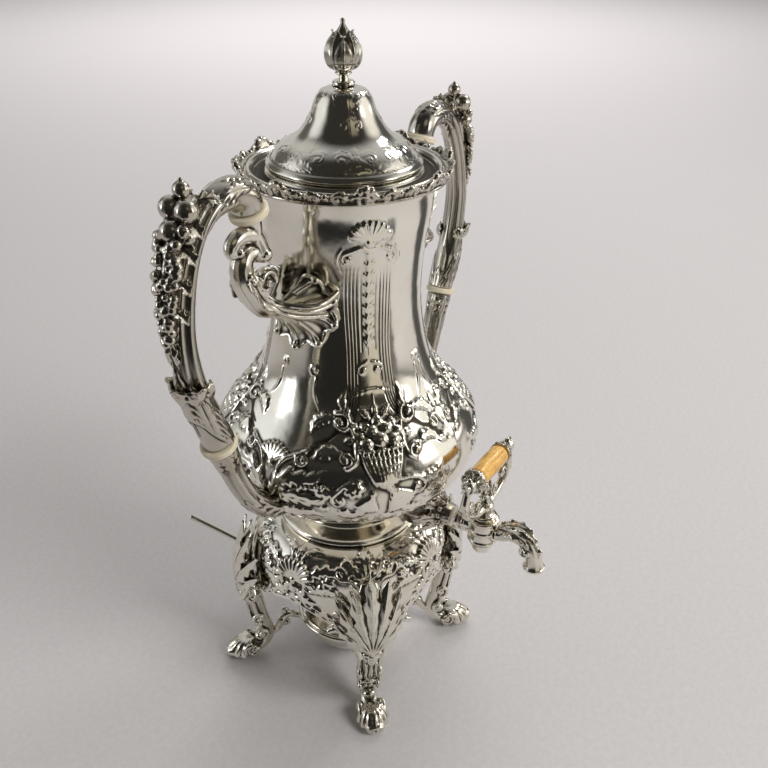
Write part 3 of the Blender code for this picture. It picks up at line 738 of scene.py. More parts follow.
def fruit_panel(skin, angle, mirror):
    """The chased basket of fruit among scrolls on the shoulder of the belly."""
    level = skin.arc_at(215)
    p = skin.patch(angle, level, 70, mirror)
    rim, low = level - skin.arc_at(209), level - skin.arc_at(194)
    crown = level - skin.arc_at(232)
    for side in (-1, 1):
        for k in range(5):
            x = side * (7.5 + 1.5 * k)
            p.cut([
                (x, 30), (x + side * 0.6, 22), (x + side * 4.5, 12),
                (side * (26 + 2.2 * k), 1.5 - 1.8 * k), (side * (36 + 2.4 * k), -3 - 3.0 * k),
            ], 0.7, 0.34)
        p.spiral(side * 19.5, 9.5, 5.6, 1.9, 2.4, turns=1.25, start=110, way=side,
                 tail=flip(side, (15, -9), (13, -1), (14.4, 9), (17, 14.5)))
        p.spiral(side * 20.5, -11.0, 4.6, 1.7, 2.1, turns=1.2, start=-100, way=-side,
                 tail=flip(side, (13.5, 2), (14, -8), (17, -14)))
        p.leaf(flip(side, (14, 12), (17, 20), (14.5, 27)), 6, 1.3, lobes=3)
        p.leaf(flip(side, (24, 12), (31, 10), (37, 3)), 7, 1.5, lobes=4)
        p.leaf(flip(side, (23, -8), (31, -6), (38, -12)), 7.5, 1.5, lobes=4)
        p.ridge(flip(side, (30, 34), (32, 24), (30, 14)), 1.6, 0.8)
        p.spiral(side * 30.5, 37, 3.2, 0.9, 1.4, turns=1.1, start=-90, way=side)
    # the basket: a woven bowl under a cabled rim
    for k in range(9):
        share = k / 8
        x = (share - 0.5) * 2
        p.ridge([(x * 11.2, rim), (x * 10, rim - 6), (x * 5.6, low)], 2.5, 2.0 + 0.9 * (1 - x * x), 0.9, 0.7)
    for k in range(3):
        y = rim - 4 - 4.2 * k
        reach = 10.6 - 2.0 * k
        p.ridge([(-reach, y + 1), (0, y), (reach, y + 1)], 1.5, 3.1 - 0.2 * k, 0.7, 0.7)
    for k in range(15):
        x = (k - 7) * 1.72
        p.dome(x, rim + 0.5 + 0.006 * x * x, 1.15, 1.3, 3.5, 20)
    p.ridge([(-4, low), (0, low - 1.6), (4, low)], 2.4, 2.0)
    fruits = [
        (0, rim + 6.6, 5.2, 4.3), (-7.6, rim + 4.8, 4.3, 3.8), (7.4, rim + 5.2, 4.5, 3.9),
        (-3.8, rim + 11.6, 4.4, 3.7),
        (4.2, rim + 12.2, 4.2, 3.5), (-10.4, rim + 9.4, 3.0, 2.7), (10.8, rim + 9.8, 3.1, 2.8),
        (0.4, rim + 16.8, 3.5, 2.9),
        (-7.4, rim + 14.6, 2.6, 2.3), (8.2, rim + 15.2, 2.6, 2.3), (-12.6, rim + 4.2, 2.4, 2.1),
        (12.8, rim + 4.6, 2.4, 2.1),
    ]
    for x, y, radius, high in fruits:
        p.dome(x, y, radius, high=high)
    for k in range(14):
        around = TAU * k / 14
        p.dome(9.6 * math.cos(around) + 0.4, rim + 10.4 + 6.6 * math.sin(around), 1.3, high=2.6)
    for x, y, dx, dy in ((-11, 14, -6, 4), (11, 14, 6, 4), (-4, 19, -5, 6), (4, 19, 5, 6), (0, 20, 0, 7),
                         (-14, 8, -6, -1), (14, 8, 6, -1)):
        p.leaf([(x, rim + y), (x + dx * 0.6, rim + y + dy * 0.7), (x + dx, rim + y + dy)], 4.4, 1.9,
               lobes=3, notch=0.3)
    # below the basket: a rosette, a fluted shell and running flowers
    p.rosette(-18.6, low - 1.5, 5.4, 2.1, petals=7)
    p.fan(2, low - 2.5, 18, 2.0, lobes=9, aim=-58, spread=74, inner=0.14)
    p.fan(-8, low - 5.0, 13, 1.7, lobes=7, aim=-112, spread=70, inner=0.14)
    p.spiral(19, low - 6, 4.8, 1.7, 2.1, turns=1.2, start=60, way=-1, tail=[(5, low + 1), (12, low + 1.5)])
    p.spiral(-27, low - 8, 4.2, 1.5, 1.9, turns=1.2, start=120, way=1, tail=[(-14, low + 3), (-21, low + 2)])
    p.leaf([(22, low - 2), (30, low - 3), (38, low + 3)], 8, 1.6, lobes=4)
    p.leaf([(-30, low - 4), (-37, low - 3), (-43, low + 3)], 8, 1.5, lobes=4)
    p.leaf([(8, low - 17), (16, low - 21), (25, low - 20)], 7, 1.3, lobes=4)
    p.leaf([(-12, low - 15), (-20, low - 19), (-29, low - 18)], 7, 1.3, lobes=4)
    for x, y, radius in ((-24, low - 17, 3.4), (26, low - 13, 3.4), (0, low - 24, 3.8), (-35, low - 14, 2.6),
                         (36, low - 9, 2.8)):
        p.rosette(x, y, radius, 1.5, petals=6, spin=12)
    for k in range(9):
        p.dome(-34 + 8.5 * k, low - 27 - 2.0 * math.cos(k * 1.3), 1.5, high=0.9)
    p.ridge([(-12, crown + 3), (0, crown + 6), (12, crown + 3)], 1.2, 0.7)


def socket_foliage(skin, angle):
    """Acanthus leaves splayed on the belly from under a handle."""
    level = skin.arc_at(188)
    p = skin.patch(angle, level, 60)
    for side in (-1, 1):
        p.leaf(flip(side, (4, -2), (13, 8), (24, 9), (33, 15)), 13, 2.6, lobes=5)
        p.leaf(flip(side, (5, -6), (17, -2), (30, -3), (38, 1)), 11, 2.3, lobes=5)
        p.leaf(flip(side, (5, -12), (15, -14), (26, -12), (33, -15)), 10, 2.0, lobes=4)
        p.leaf(flip(side, (3, -16), (9, -24), (18, -27)), 8, 1.6, lobes=4)
        p.spiral(side * 18, 19, 4.4, 1.8, 2.1, turns=1.2, start=90, way=side, tail=flip(side, (5, 8),
                                                                                        (10, 19)))
        p.rosette(side * 30, 24, 4.0, 1.7, petals=6)
        for k in range(5):
            p.dome(side * (20 + 3.3 * k), 3.6 + 0.5 * k, 1.5 - 0.12 * k, high=2.6)
    p.fan(0, 13, 12, 1.8, lobes=7, aim=90, spread=110)


def front_foliage(skin, angle, size):
    """Scrolls and small flowers between two baskets."""
    level = skin.arc_at(212)
    p = skin.patch(angle, level, 50, size=size)
    p.rosette(0, 6, 5.2, 1.8, petals=8)
    for side in (-1, 1):
        p.spiral(side * 10, 2, 4.6, 1.5, 2.0, turns=1.2, start=90, way=side, tail=flip(side, (0, -8),
                                                                                       (3, 4), (6, 7.4)))
        p.leaf(flip(side, (3, -6), (10, -11), (17, -8)), 7, 1.4, lobes=4)
        p.leaf(flip(side, (4, 10), (9, 16), (15, 16)), 6, 1.2, lobes=3)
    p.leaf([(0, 12), (0, 24)], 7, 1.4, lobes=4)
    p.leaf([(0, -4), (0, -18)], 8, 1.4, lobes=4)


def build_vessel():
    profile = outline(VESSEL_OUTLINE, 0.78)
    skin = Skin(revolve(shift_profile(profile, -VESSEL_SKIN_PROUD), VESSEL_COLUMNS))
    for angle, mirror in PANELS:
        neck_panel(skin, angle, mirror)
        fruit_panel(skin, angle, mirror)
    for angle in (0, 180):
        socket_foliage(skin, angle)
    front_foliage(skin, 90, 1.0)
    front_foliage(skin, -90, 0.8)
    skin.soften(2)
    inside = shift_profile(profile, VESSEL_WALL)
    inside[:, 0] = np.maximum(inside[:, 0], AXIS_GAP)
    inner = revolve(inside, VESSEL_COLUMNS)
    rows = np.arange(len(profile))
    cut_rows = [int(np.interp(-z, -profile[:, 1], rows)) for z in VESSEL_CUT_HEIGHTS]
    place_rings("vessel_skin", skin, inner, cut_rows, SILVER, "vessel", "vessel_body")


def turned_piece(name, section, finish, body, *replaced, cols=128, step=0.7, slot="silver"):
    """A turned ring or bowl from a closed section of (radius, z) points, with softly rounded corners."""
    points = list(section) + [section[0]]
    dense = []
    for (r1, z1), (r2, z2) in zip(points, points[1:]):
        count = max(1, int(math.hypot(r2 - r1, z2 - z1) / step))
        dense += [(r1 + (r2 - r1) * k / count, z1 + (z2 - z1) * k / count) for k in range(count)]
    soft = np.array(dense)
    soft = (np.roll(soft, 1, 0) + 2 * soft + np.roll(soft, -1, 0)) / 4
    grid = revolve(soft, cols)
    mesh = make_mesh(name, grid.reshape(-1, 3), grid_quads(len(soft), cols, closed_rows=True))
    set_patina(mesh, mesh_patina(mesh, 3, 10))
    return place(name, mesh, finish, body, *replaced, slot=slot)


def spindle(name, profile, finish, body, *replaced, cols, step=0.35):
    """A solid turned about Z from a smooth (radius, z) outline, top to bottom."""
    line = outline(profile, step)
    line[:, 0] = np.maximum(line[:, 0], AXIS_GAP)
    points, quads, triangles = capped(revolve(line, cols))
    mesh = make_mesh(name, points, quads, triangles)
    set_patina(mesh, mesh_patina(mesh, 3, 14))
    return place(name, mesh, finish, body, *replaced)


RIM_RADIUS = 54.4
RIM_SCROLLS = 28
RIM_CRESTS = 8


def build_rim():
    """The cast border of the mouth: a rolled ring of leaf scrolls and beads, with taller flower crests."""
    clay = Clay()
    ring = [(RIM_RADIUS * math.cos(TAU * k / 160), RIM_RADIUS * math.sin(TAU * k / 160), 346.6)
            for k in range(161)]
    clay.tube([(*point, 1.9) for point in ring], side=(0, 0, 1), step=2.0)
    clay.tube([(point[0] * 1.018, point[1] * 1.018, 344.4, 1.0) for point in ring], side=(0, 0, 1), step=2.0)
    for k in range(RIM_SCROLLS):
        angle = TAU * (k + 0.5) / RIM_SCROLLS
        out = np.array([math.cos(angle), math.sin(angle), 0])
        around = np.array([-math.sin(angle), math.cos(angle), 0])
        base = out * 54.9 + np.array([0, 0, 347.4])
        tall = 1.0 + 0.6 * max(0.0, math.cos(4 * angle - math.pi)) ** 2
        way = 1 if k % 2 else -1
        upright = np.array([0, 0, 0.9]) + out * 0.4
        clay.scroll(base + out * 1.1 + around * way * 1.2, 2.9 * tall, 1.15, turns=1.1,
                    start=200 if way > 0 else -20, way=-way, plane=(around, upright), width=1.4)
        clay.leaf([
            base - around * way * 4 + out * 0.4, base - around * way * 2 + out * 1.6 + [0, 0, 2.0],
            base + around * way * 0.6 + out * 2.2 + [0, 0, 3.6 * tall],
        ], 5.2, around, thick=1.6, lobes=3)
        clay.ball(base + around * 5.6 + out * 1.0 + [0, 0, 0.8], 1.7)
    for k in range(RIM_CRESTS):
        angle = TAU * k / RIM_CRESTS
        out = np.array([math.cos(angle), math.sin(angle), 0])
        around = np.array([-math.sin(angle), math.cos(angle), 0])
        base = out * 55.0 + np.array([0, 0, 348.6])
        for petal in range(5):
            swing = math.radians(-80 + 40 * petal)
            aim = around * math.sin(swing) + (np.array([0, 0, 0.92]) + out * 0.35) * math.cos(swing)
            clay.ball(base + aim * 4.1 + out * 0.8, 2.05)
            clay.tube([(*base, 1.4), (*(base + aim * 3.6), 1.6)], side=around)
        clay.ball(base + out * 1.9 + [0, 0, 0.8], 2.1)
    # The rim crest takes the darker oxidised copy of the silver: real oxide in its hollows, plus painted
    # shade for the shadow the border stands in.
    place("rim_crest", clay.cast("rim_crest", 0.55), OXIDISED_SHADED, "vessel", "rim_border")


def build_mouth():
    """The seat inside the mouth that the lid rests on."""
    turned_piece("lid_seat", [
        (52.2, 348.4), (52.2, 346.9), (48.7, 346.9), (47, 343.6), (40.3, 341.6), (40.3, 336), (38.8, 336),
        (38.8, 347.8),
        (41.6, 347.8), (42.4, 346.2), (43.2, 345.0), (44.6, 344.3), (46.2, 344.3), (47.8, 345.0),
        (49.2, 346.5),
        (50.2, 348.6), (51.2, 349.0),
    ], CAST, "vessel", "mouth_ring", cols=256, step=0.8)
    turned_piece("lid_flange", [
        (38.4, 348.4), (38.4, 340.4), (38.1, 340), (36.9, 340), (36.9, 348.4),
    ], PLAIN, "lid", "lid_bezel", cols=200, step=0.8)


def build_lid():
    profile = outline(LID_OUTLINE, 0.6)
    skin = Skin(revolve(profile, LID_COLUMNS))
    for k in range(4):
        angle = 45 + 90 * k
        top = skin.patch(angle, skin.arc_at(381), 30)
        top.leaf([(0, 4), (0, -7)], 7, 0.5, lobes=4)
        top.rosette(0, 5, 2.6, 0.55, petals=6)
        for side in (-1, 1):
            top.leaf(flip(side, (1.5, 1), (5, 0), (8, 3)), 4, 0.45, lobes=3)
            top.spiral(side * 5.6, 5, 2.3, 0.5, 0.9, turns=1.1, start=-90, way=side, tail=[(side * 1.6, 0)])
            top.spiral(side * 3.6, -9.5, 2.2, 0.45, 0.9, turns=1.1, start=90, way=-side, tail=[(0, -5)])
        for turn in (0, 45):
            low = skin.patch(angle + turn, skin.arc_at(359), 26, size=0.95 if turn else 1.0)
            low.rosette(0, 0, 3.2, 0.6, petals=7)
            for side in (-1, 1):
                low.spiral(side * 7.5, 0.5, 3.0, 0.5, 1.0, turns=1.15, start=90, way=-side,
                           tail=[(side * 2.5, 1.5)])
                low.leaf(flip(side, (3, -1), (8, -4.4), (13.5, -1.5)), 4.6, 0.45, lobes=4)
                low.leaf(flip(side, (2, 2), (6.5, 5.2), (11, 4)), 3.8, 0.4, lobes=3)
            low.leaf([(0, 3), (0, 9)], 4.4, 0.45, lobes=3)
            for stroke in range(5):
                x = -14 + 7 * stroke
                low.cut([(x, -7.5), (x + 3, -6.6), (x + 6, -7.5)], 0.5, 0.16)
    skin.soften(1)
    skin.high *= LID_RELIEF
    edge = np.exp(-((skin.grid[..., 2] - 350.2) / 0.9) ** 2)
    groove = np.exp(-((skin.grid[..., 2] - 353.2) / 0.7) ** 2)
    skin.high += 0.5 * edge - 0.35 * groove
    inner = revolve(shift_profile(profile, LID_WALL), LID_COLUMNS)
    place_rings("lid_skin", skin, inner, [], SILVER, "lid", "lid")


def build_finial():
    """A bud of cupped petals on a turned stem."""
    spindle("finial_shaft", [
        (0.4, 395.6), (3.6, 395.2), (4.4, 394.2), (3.0, 393.2), (2.2, 391.9), (3.6, 391.0), (5.6, 390.2),
        (5.9, 389.3), (5.4, 388.6), (3.2, 388.3), (2.4, 387), (2.35, 382), (2.0, 380.6), (0.4, 380.4),
    ], PLAIN, "lid", "finial_stem", cols=64, step=0.3)
    low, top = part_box("finial_bud")
    base, height = low.z / MM, (top.z - low.z) / MM
    clay = Clay()
    clay.ball((0, 0, base + 8.2), (7.7, 7.7, 7.6))
    clay.tube([
        (0, 0, base + 13, 5.6), (0, 0, base + 17, 4.0), (0, 0, base + 20, 1.9), (0, 0, base + height - 2.2,
                                                                                 0.9),
    ])
    clay.ball((0, 0, base + height - 1.5), 1.3)
    for turn, reach, level, last, width in ((0, 8.5, 12.6, 15.4, 12.4), (36, 8.0, 13.2, 17.4, 10.4)):
        for k in range(5):
            angle = TAU * k / 5 + math.radians(turn)
            out = np.array([math.cos(angle), math.sin(angle), 0])
            around = (-math.sin(angle), math.cos(angle), 0)
            clay.leaf([
                out * 2.6 + [0, 0, base + 0.3], out * reach * 0.80 + [0, 0, base + 2.6],
                out * reach + [0, 0, base + 7.6], out * reach * 0.84 + [0, 0, base + level],
                out * reach * 0.60 + [0, 0, base + last], out * (reach * 0.60 + 0.9) + [0, 0,
                                                                                        base + last + 1.4],
            ], width, around, thick=1.2, lobes=1, notch=0.03, cup=0.34, ribs=0.35, tip=0.26)
    # The finial bud takes the dimmer copy of the silver, whose base colour is painted shade.
    place("finial_flower", clay.cast("finial_flower", 0.3, 2), SHADED_TARNISHED, "lid", "finial_bud")


# ---------------------------------------------------------------- the handles

HANDLE_LINE = [
    (78.8, 346.7, 7.9, 7.9), (80.2, 350.5, 8, 8), (86, 355, 7.7, 7.8), (95, 356.3, 7.3, 7.4),
    (103, 354.8, 7, 7), (110.5, 349.8, 6.8, 6.9), (116.5, 342, 6.8, 6.9), (121.5, 332, 6.8, 6.9),
    (125.2, 320, 7, 7), (127.6, 308, 7.2, 7.2), (128.3, 296, 7.3, 7.4), (127.2, 284, 7.6, 7.6),
    (124.6, 270.5, 8, 8), (121.2, 259.8, 8, 8), (118, 250, 7.8, 7.8), (114.9, 241, 7.6, 7.7),
    (113.4, 236.4, 7.5, 7.6),
]
BRACKET_STEM = [(77.6, 342.2, 5.6), (76.4, 338, 5.0), (76.0, 333, 4.6)]
SOCKET_LINE = [
    (111.6, 231.3, 7.6, 7.6), (109, 223.5, 6.8, 7), (103.6, 208.5, 6.4, 6.8), (96, 192.5, 6.2, 7.2),
    (86, 179.5, 6.0, 8.2), (74, 170.5, 5.0, 10), (66, 167, 3.6, 10),
]


def swept_skin(line, cols, step, section=None):
    """A skin swept along (x, z, half depth, half width) points in the handles' plane."""
    flat = [(-x, 0, z, depth, width) for x, z, depth, width in line]
    path = spline(flat, step)
    centre, deep, wide = path[:, :3], path[:, 3:4], path[:, 4:5]
    _, across, up = path_frames(centre, (0, 1, 0))
    angle = TAU * np.arange(cols)[None] / cols
    share = np.linspace(0, 1, len(path))[:, None]
    scale = np.ones((len(path), cols)) if section is None else section(angle, share)
    grid = centre[:, None] + up[:, None] * (deep * np.cos(angle) * scale)[..., None]
    return Skin(grid + across[:, None] * (wide * np.sin(angle) * scale)[..., None])


def handle_section(angle, share):
    """Deep mouldings along the bar that die away into its smooth ends."""
    fluted = np.clip((share - 0.14) / 0.08, 0, 1) * np.clip((0.86 - share) / 0.10, 0, 1)
    waist = 1 - 0.12 * fluted
    return waist * (1 + fluted * (0.085 * np.cos(4 * angle) + 0.055 * np.cos(8 * angle + 0.6)))


def socket_section(angle, share):
    """Shallow mouldings that die away at both ends of the lower limb."""
    fluted = np.clip((share - 0.08) / 0.1, 0, 1) * np.clip((0.8 - share) / 0.25, 0, 1)
    return 1 - 0.04 * fluted + fluted * 0.06 * np.cos(6 * angle)


def finish_skin(name, skin):
    points, quads, triangles = capped(skin.raised())
    mesh = make_mesh(name, points, quads, triangles)
    set_patina(mesh, mesh_patina(mesh, 4, 24))
    return mesh


def handle_mesh():
    skin = swept_skin(HANDLE_LINE, 112, 0.62, handle_section)
    total = float(skin.arc[-1].mean())
    # the acanthus sleeve rises from the lower ring
    for degrees, reach in ((0, 34), (60, 30), (-60, 30), (120, 30), (-120, 30), (180, 30)):
        p = skin.patch(degrees, total - 2, 60)
        p.leaf([(0, 1), (0, reach * 0.5), (0, reach)], 13, 1.7, lobes=5, notch=0.35)
    for degrees in (30, -30, 90, -90, 150, -150):
        p = skin.patch(degrees, total - 2, 60)
        p.leaf([(0, 1), (0, 12), (0, 25)], 8, 1.2, lobes=4)
    # and a smaller cup of leaves comes down from the upper ring
    for degrees in range(0, 360, 60):
        p = skin.patch(degrees, 17, 40)
        p.leaf([(0, 1), (0, -8), (0, -17)], 8, 1.0, lobes=4)
    return finish_skin("handle_bar_left", skin)


def leaf_collar():
    """Leaves that curl off the bar above its sleeve."""
    clay = Clay()
    for degrees, size in ((180, 1.05), (120, 1.0), (-120, 1.0), (60, 0.8), (-60, 0.8)):
        angle = math.radians(degrees)
        out = np.array([math.cos(angle), math.sin(angle), 0])
        side = (-math.sin(angle), math.cos(angle), 0)
        base = np.array([-126.4, 0, 268.0])
        spine = [base + out * 6.4, base + out * 8.6 + [0.3, 0, 5], base + out * (10.4 * size) + [0.3, 0, 9],
                 base + out * (12.2 * size) + [0, 0, 9.6 * size]]
        clay.leaf(spine, 12 * size, side, thick=2.0, lobes=3, notch=0.3, cup=0.2, full=1.1)
    return clay


BERRIES = 66


def fruit_mesh():
    """Large fruits at the bend, then a bunch of berries and leaves hanging down the outside of the bar."""
    clay = leaf_collar()
    rng = np.random.default_rng(11)
    clay.ball((-118.8, 0, 365.8), 4.0)
    clay.ball((-118.6, 0, 370.0), (1.1, 1.1, 1.1))
    for y in (-4.6, 4.6):
        clay.ball((-121.7, y, 358.0), 5.4)
        clay.ball((-124.2, y * 1.05, 361.6), (0.9, 0.9, 0.9))
    clay.ball((-127.0, 0, 350.0), 5.4)
    for y in (-6.4, 6.4):
        clay.ball((-124.2, y, 347.6), 3.5)
    spine = spline([(-119.5, 0, 360), (-127.2, 0, 346), (-132.4, 0, 330), (-134.8, 0, 314),
                    (-135.2, 0, 299)], 1.0)
    clay.tube([(*point, 3.0) for point in spine[::6]])
    for k in range(BERRIES):
        share = 0.16 + 0.84 * (k + 0.5) / BERRIES
        spot = spine[int(share * (len(spine) - 1))]
        wide = 7.2 * (1 - share) ** 0.6 + 1.6
        swing = rng.uniform(-1.25, 1.25)
        radius = rng.uniform(2.0, 2.9) * (1.1 - 0.35 * share)
        out = (2.6 + 1.6 * (1 - share)) * math.cos(swing)
        clay.ball(spot + np.array([-out, wide * math.sin(swing), rng.uniform(-1, 1)]), radius)
    for k, (z, y, size) in enumerate(((354, 8, 1.0), (342, 8.2, 1.0), (329, 7.4, 0.9), (316, 6.4, 0.8))):
        share = (360 - z) / 61
        spot = spine[int(np.clip(share, 0, 1) * (len(spine) - 1))]
        for side in (-1, 1):
            base = spot + np.array([1.5, side * (y - 4.2), 0])
            tip = spot + np.array([3.6, side * (y + 2.2), -9 * size])
            middle = (base + tip) / 2 + np.array([-0.6, side * 2.0, 0])
            clay.leaf([base, middle, tip], 8.5 * size, (0.9, side * 0.3, 0.2), thick=1.3, lobes=3)
    for side in (-1, 1):
        clay.leaf(flip_y(side, (-114, 3, 360), (-109, 6.4, 360.5), (-103, 8.0, 357)), 8, (0.1, 0.4, 1),
                  lobes=4)
        clay.leaf(flip_y(side, (-136, 1, 302), (-135.6, 2.2, 294), (-133.6, 2.0, 287)), 5, (0, 1, 0), lobes=3)
    return clay.cast("fruit_spray_left", 0.5, 1)


NECK_HEIGHTS = [250, 265, 280, 300, 320]
NECK_RADII = [46.4, 43.8, 42.8, 44.0, 46.4]
FLARE_LOBES = 10


def neck_flare(clay):
    """A fluted shell that opens from the bracket onto the neck, with beads along its scalloped edge."""
    swing = np.radians(np.linspace(-158, 158, 151))[:, None]
    share = np.linspace(0, 1, 29)[None]
    wave = np.abs(np.cos(FLARE_LOBES / 2 * swing))

    def surface(share, wave, swing):
        reach = 2.5 * (1 - share) + 24.0 * share ** 0.85 * (1 - 0.20 * (1 - wave) * share ** 3)
        across = reach * np.sin(swing)
        height = 290 - 6.5 * share - reach * np.cos(swing)
        stand_off = 2.5 * share * np.abs(np.sin(swing / 2)) ** 5
        lift = 20 * (1 - share) ** 1.9 + 1.8 + 2.2 * share ** 7 + stand_off + 1.9 * (wave - 0.5) * share
        radius = np.interp(height, NECK_HEIGHTS, NECK_RADII) + lift
        angle = math.pi + across / 46
        return np.stack([radius * np.cos(angle), radius * np.sin(angle), height], -1)

    face = surface(share, wave, swing)
    normal = unit(np.cross(np.gradient(face, axis=0), np.gradient(face, axis=1)))
    normal *= np.sign((normal[:, -6] * face[:, -6] * [1, 1, 0]).sum())
    clay.lump(np.concatenate([face, (face - 2.0 * normal)[:, ::-1]], axis=1))
    for k in range(-4, 5):
        tip = surface(np.array(0.95), np.array(1.0), np.array(TAU * k / FLARE_LOBES))
        clay.ball(tip, 2.3)
        rib = [surface(np.array(s), np.array(1.0), np.array(TAU * k / FLARE_LOBES)) for s in (0.3, 0.55,
                                                                                              0.8, 0.97)]
        clay.tube([(*point, 0.9 + 0.25 * n) for n, point in enumerate(rib)], side=(0, 0, 1))


def bracket_mesh():
    """The upper bracket: a block under the ring, a hooked volute, a fat S scroll and the shell."""
    clay = Clay()
    clay.tube([(-x, 0, z, radius) for x, z, radius in BRACKET_STEM])
    clay.tube([
        (-77, 0, 333, 4.8), (-83, 0, 334.6, 4.6), (-89, 0, 333.4, 4.2), (-92.2, 0, 330, 3.6),
        (-90.6, 0, 326.6, 2.8),
    ])
    clay.ball((-89.2, 0, 328.2), (3.1, 5.4, 3.1))
    clay.tube([(-77, 0, 334, 4.6), (-74.4, 0, 329, 5.0), (-72.6, 0, 323.4, 5.4)])
    clay.ball((-71.8, 0, 322.0), (4.8, 6.8, 4.8))
    clay.tube([
        (-74, 0, 322, 4.4), (-80, 0, 324.6, 4.6), (-85.2, 0, 321.6, 5.4), (-85.4, 0, 314.4, 6.4),
        (-82.0, 0, 307.4, 6.8), (-78.0, 0, 300.4, 6.4), (-73.6, 0, 294.4, 5.6), (-67, 0, 290.4, 4.8),
        (-59, 0, 288.4, 3.8), (-52, 0, 287.4, 3.0),
    ])
    clay.scroll((-70.6, 0, 306.4), 6.4, 2.5, turns=1.25, start=-20, way=1, width=4.2)
    neck_flare(clay)
    for side in (-1, 1):
        clay.leaf(flip_y(side,
            (-84.6, 2.4, 320), (-84.4, 6.8, 311), (-79.4, 8.4, 301), (-71, 9.6, 293),
        ), 10, (1, 0, 0.2), lobes=4)
        for k in range(3):
            clay.tube([
                (-84 + 3 * k, side * (5.4 - k), 309 - k, 0.9), (-78 + 3 * k, side * (7.6 - k), 299, 1.2),
                (-69 + 2 * k, side * (10 + 2.4 * k), 291 + 2 * k, 1.4), (-58, side * (15 + 3.5 * k),
                                                                         286 + 4 * k, 1.5),
                (-47 + 3 * k, side * (20.5 + 1.5 * k), 284 + 6 * k, 1.3),
            ])
    for k in range(6):
        share = k / 5
        for side in (-1, 1):
            clay.ball((-86.5 + 12 * share, side * 5.8, 316 - 18 * share), 1.6)
    return clay.cast("bracket_scroll_left", 0.5, 2)


def socket_mesh():
    skin = swept_skin(SOCKET_LINE, 96, 0.7, socket_section)
    total = float(skin.arc[-1].mean())
    for degrees in (0, 72, 144, -144, -72):
        p = skin.patch(degrees, total - 8, 70)
        p.leaf([(0, 0), (0, 16), (0, 33)], 11, 1.5, lobes=5)
    for degrees in range(0, 360, 60):
        p = skin.patch(degrees, 3, 40)
        p.leaf([(0, 2), (0, -6), (0, -13)], 7.5, 0.9, lobes=3)
    return finish_skin("socket_limb_left", skin)


RING_LEAN = {"upper": 20.0, "lower": 19.0}


def ivory_ring(side, level):
    """An ivory ring with eased edges and a turned waist, on the lean of its joint."""
    low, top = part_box(f"insulator_{level}_{side}")
    centre = (low + top) / 2
    radius, half, bore = 9.7, 1.8, 3.4
    section = [
        (bore, half), (radius - 1.0, half), (radius - 0.35, half - 0.25), (radius, half - 0.7),
        (radius - 0.18, 0.25),
        (radius - 0.18, -0.25), (radius, 0.7 - half), (radius - 0.35, 0.25 - half), (radius - 1.0, -half),
        (bore, -half),
    ]
    obj = turned_piece(f"ivory_ring_{level}_{side}", section, IVORY, "vessel", f"insulator_{level}_{side}",
                       cols=96, step=0.22, slot="ivory")
    lean = math.radians(RING_LEAN[level] if side == "right" else -RING_LEAN[level])
    obj.data.transform(Matrix.Translation(centre) @ Matrix.Rotation(lean, 4, "Y"))


def build_handles():
    # The handle bars and lower sockets take the dimmer copy of the silver, whose base colour paints their
    # darker reflections and shade.
    meshes = {
        "handle_bar": (handle_mesh(), SHADED_TARNISHED, "handle"), "fruit_spray": (fruit_mesh(), OXIDISED_SHADED, "fruit_cluster"),
        "bracket_scroll": (bracket_mesh(), CAST, "upper_bracket"), "socket_limb": (socket_mesh(), SHADED_TARNISHED,
                                                                                   "lower_socket"),
    }
    for word, (mesh, finish, node) in meshes.items():
        slot = "oxidised_silver" if finish is OXIDISED_SHADED else "silver"
        place(f"{word}_left", mesh, finish, "vessel", f"{node}_left", slot=slot)
        place(f"{word}_right", mirrored(mesh, f"{word}_right"), finish, "vessel", f"{node}_right", slot=slot)
    for side in ("left", "right"):
        for level in ("upper", "lower"):
            ivory_ring(side, level)


# ---------------------------------------------------------------- the spigot and its key

GRIP_HALF = 14.4
GRIP_ROWS = 80
GRIP_SIDES = 72


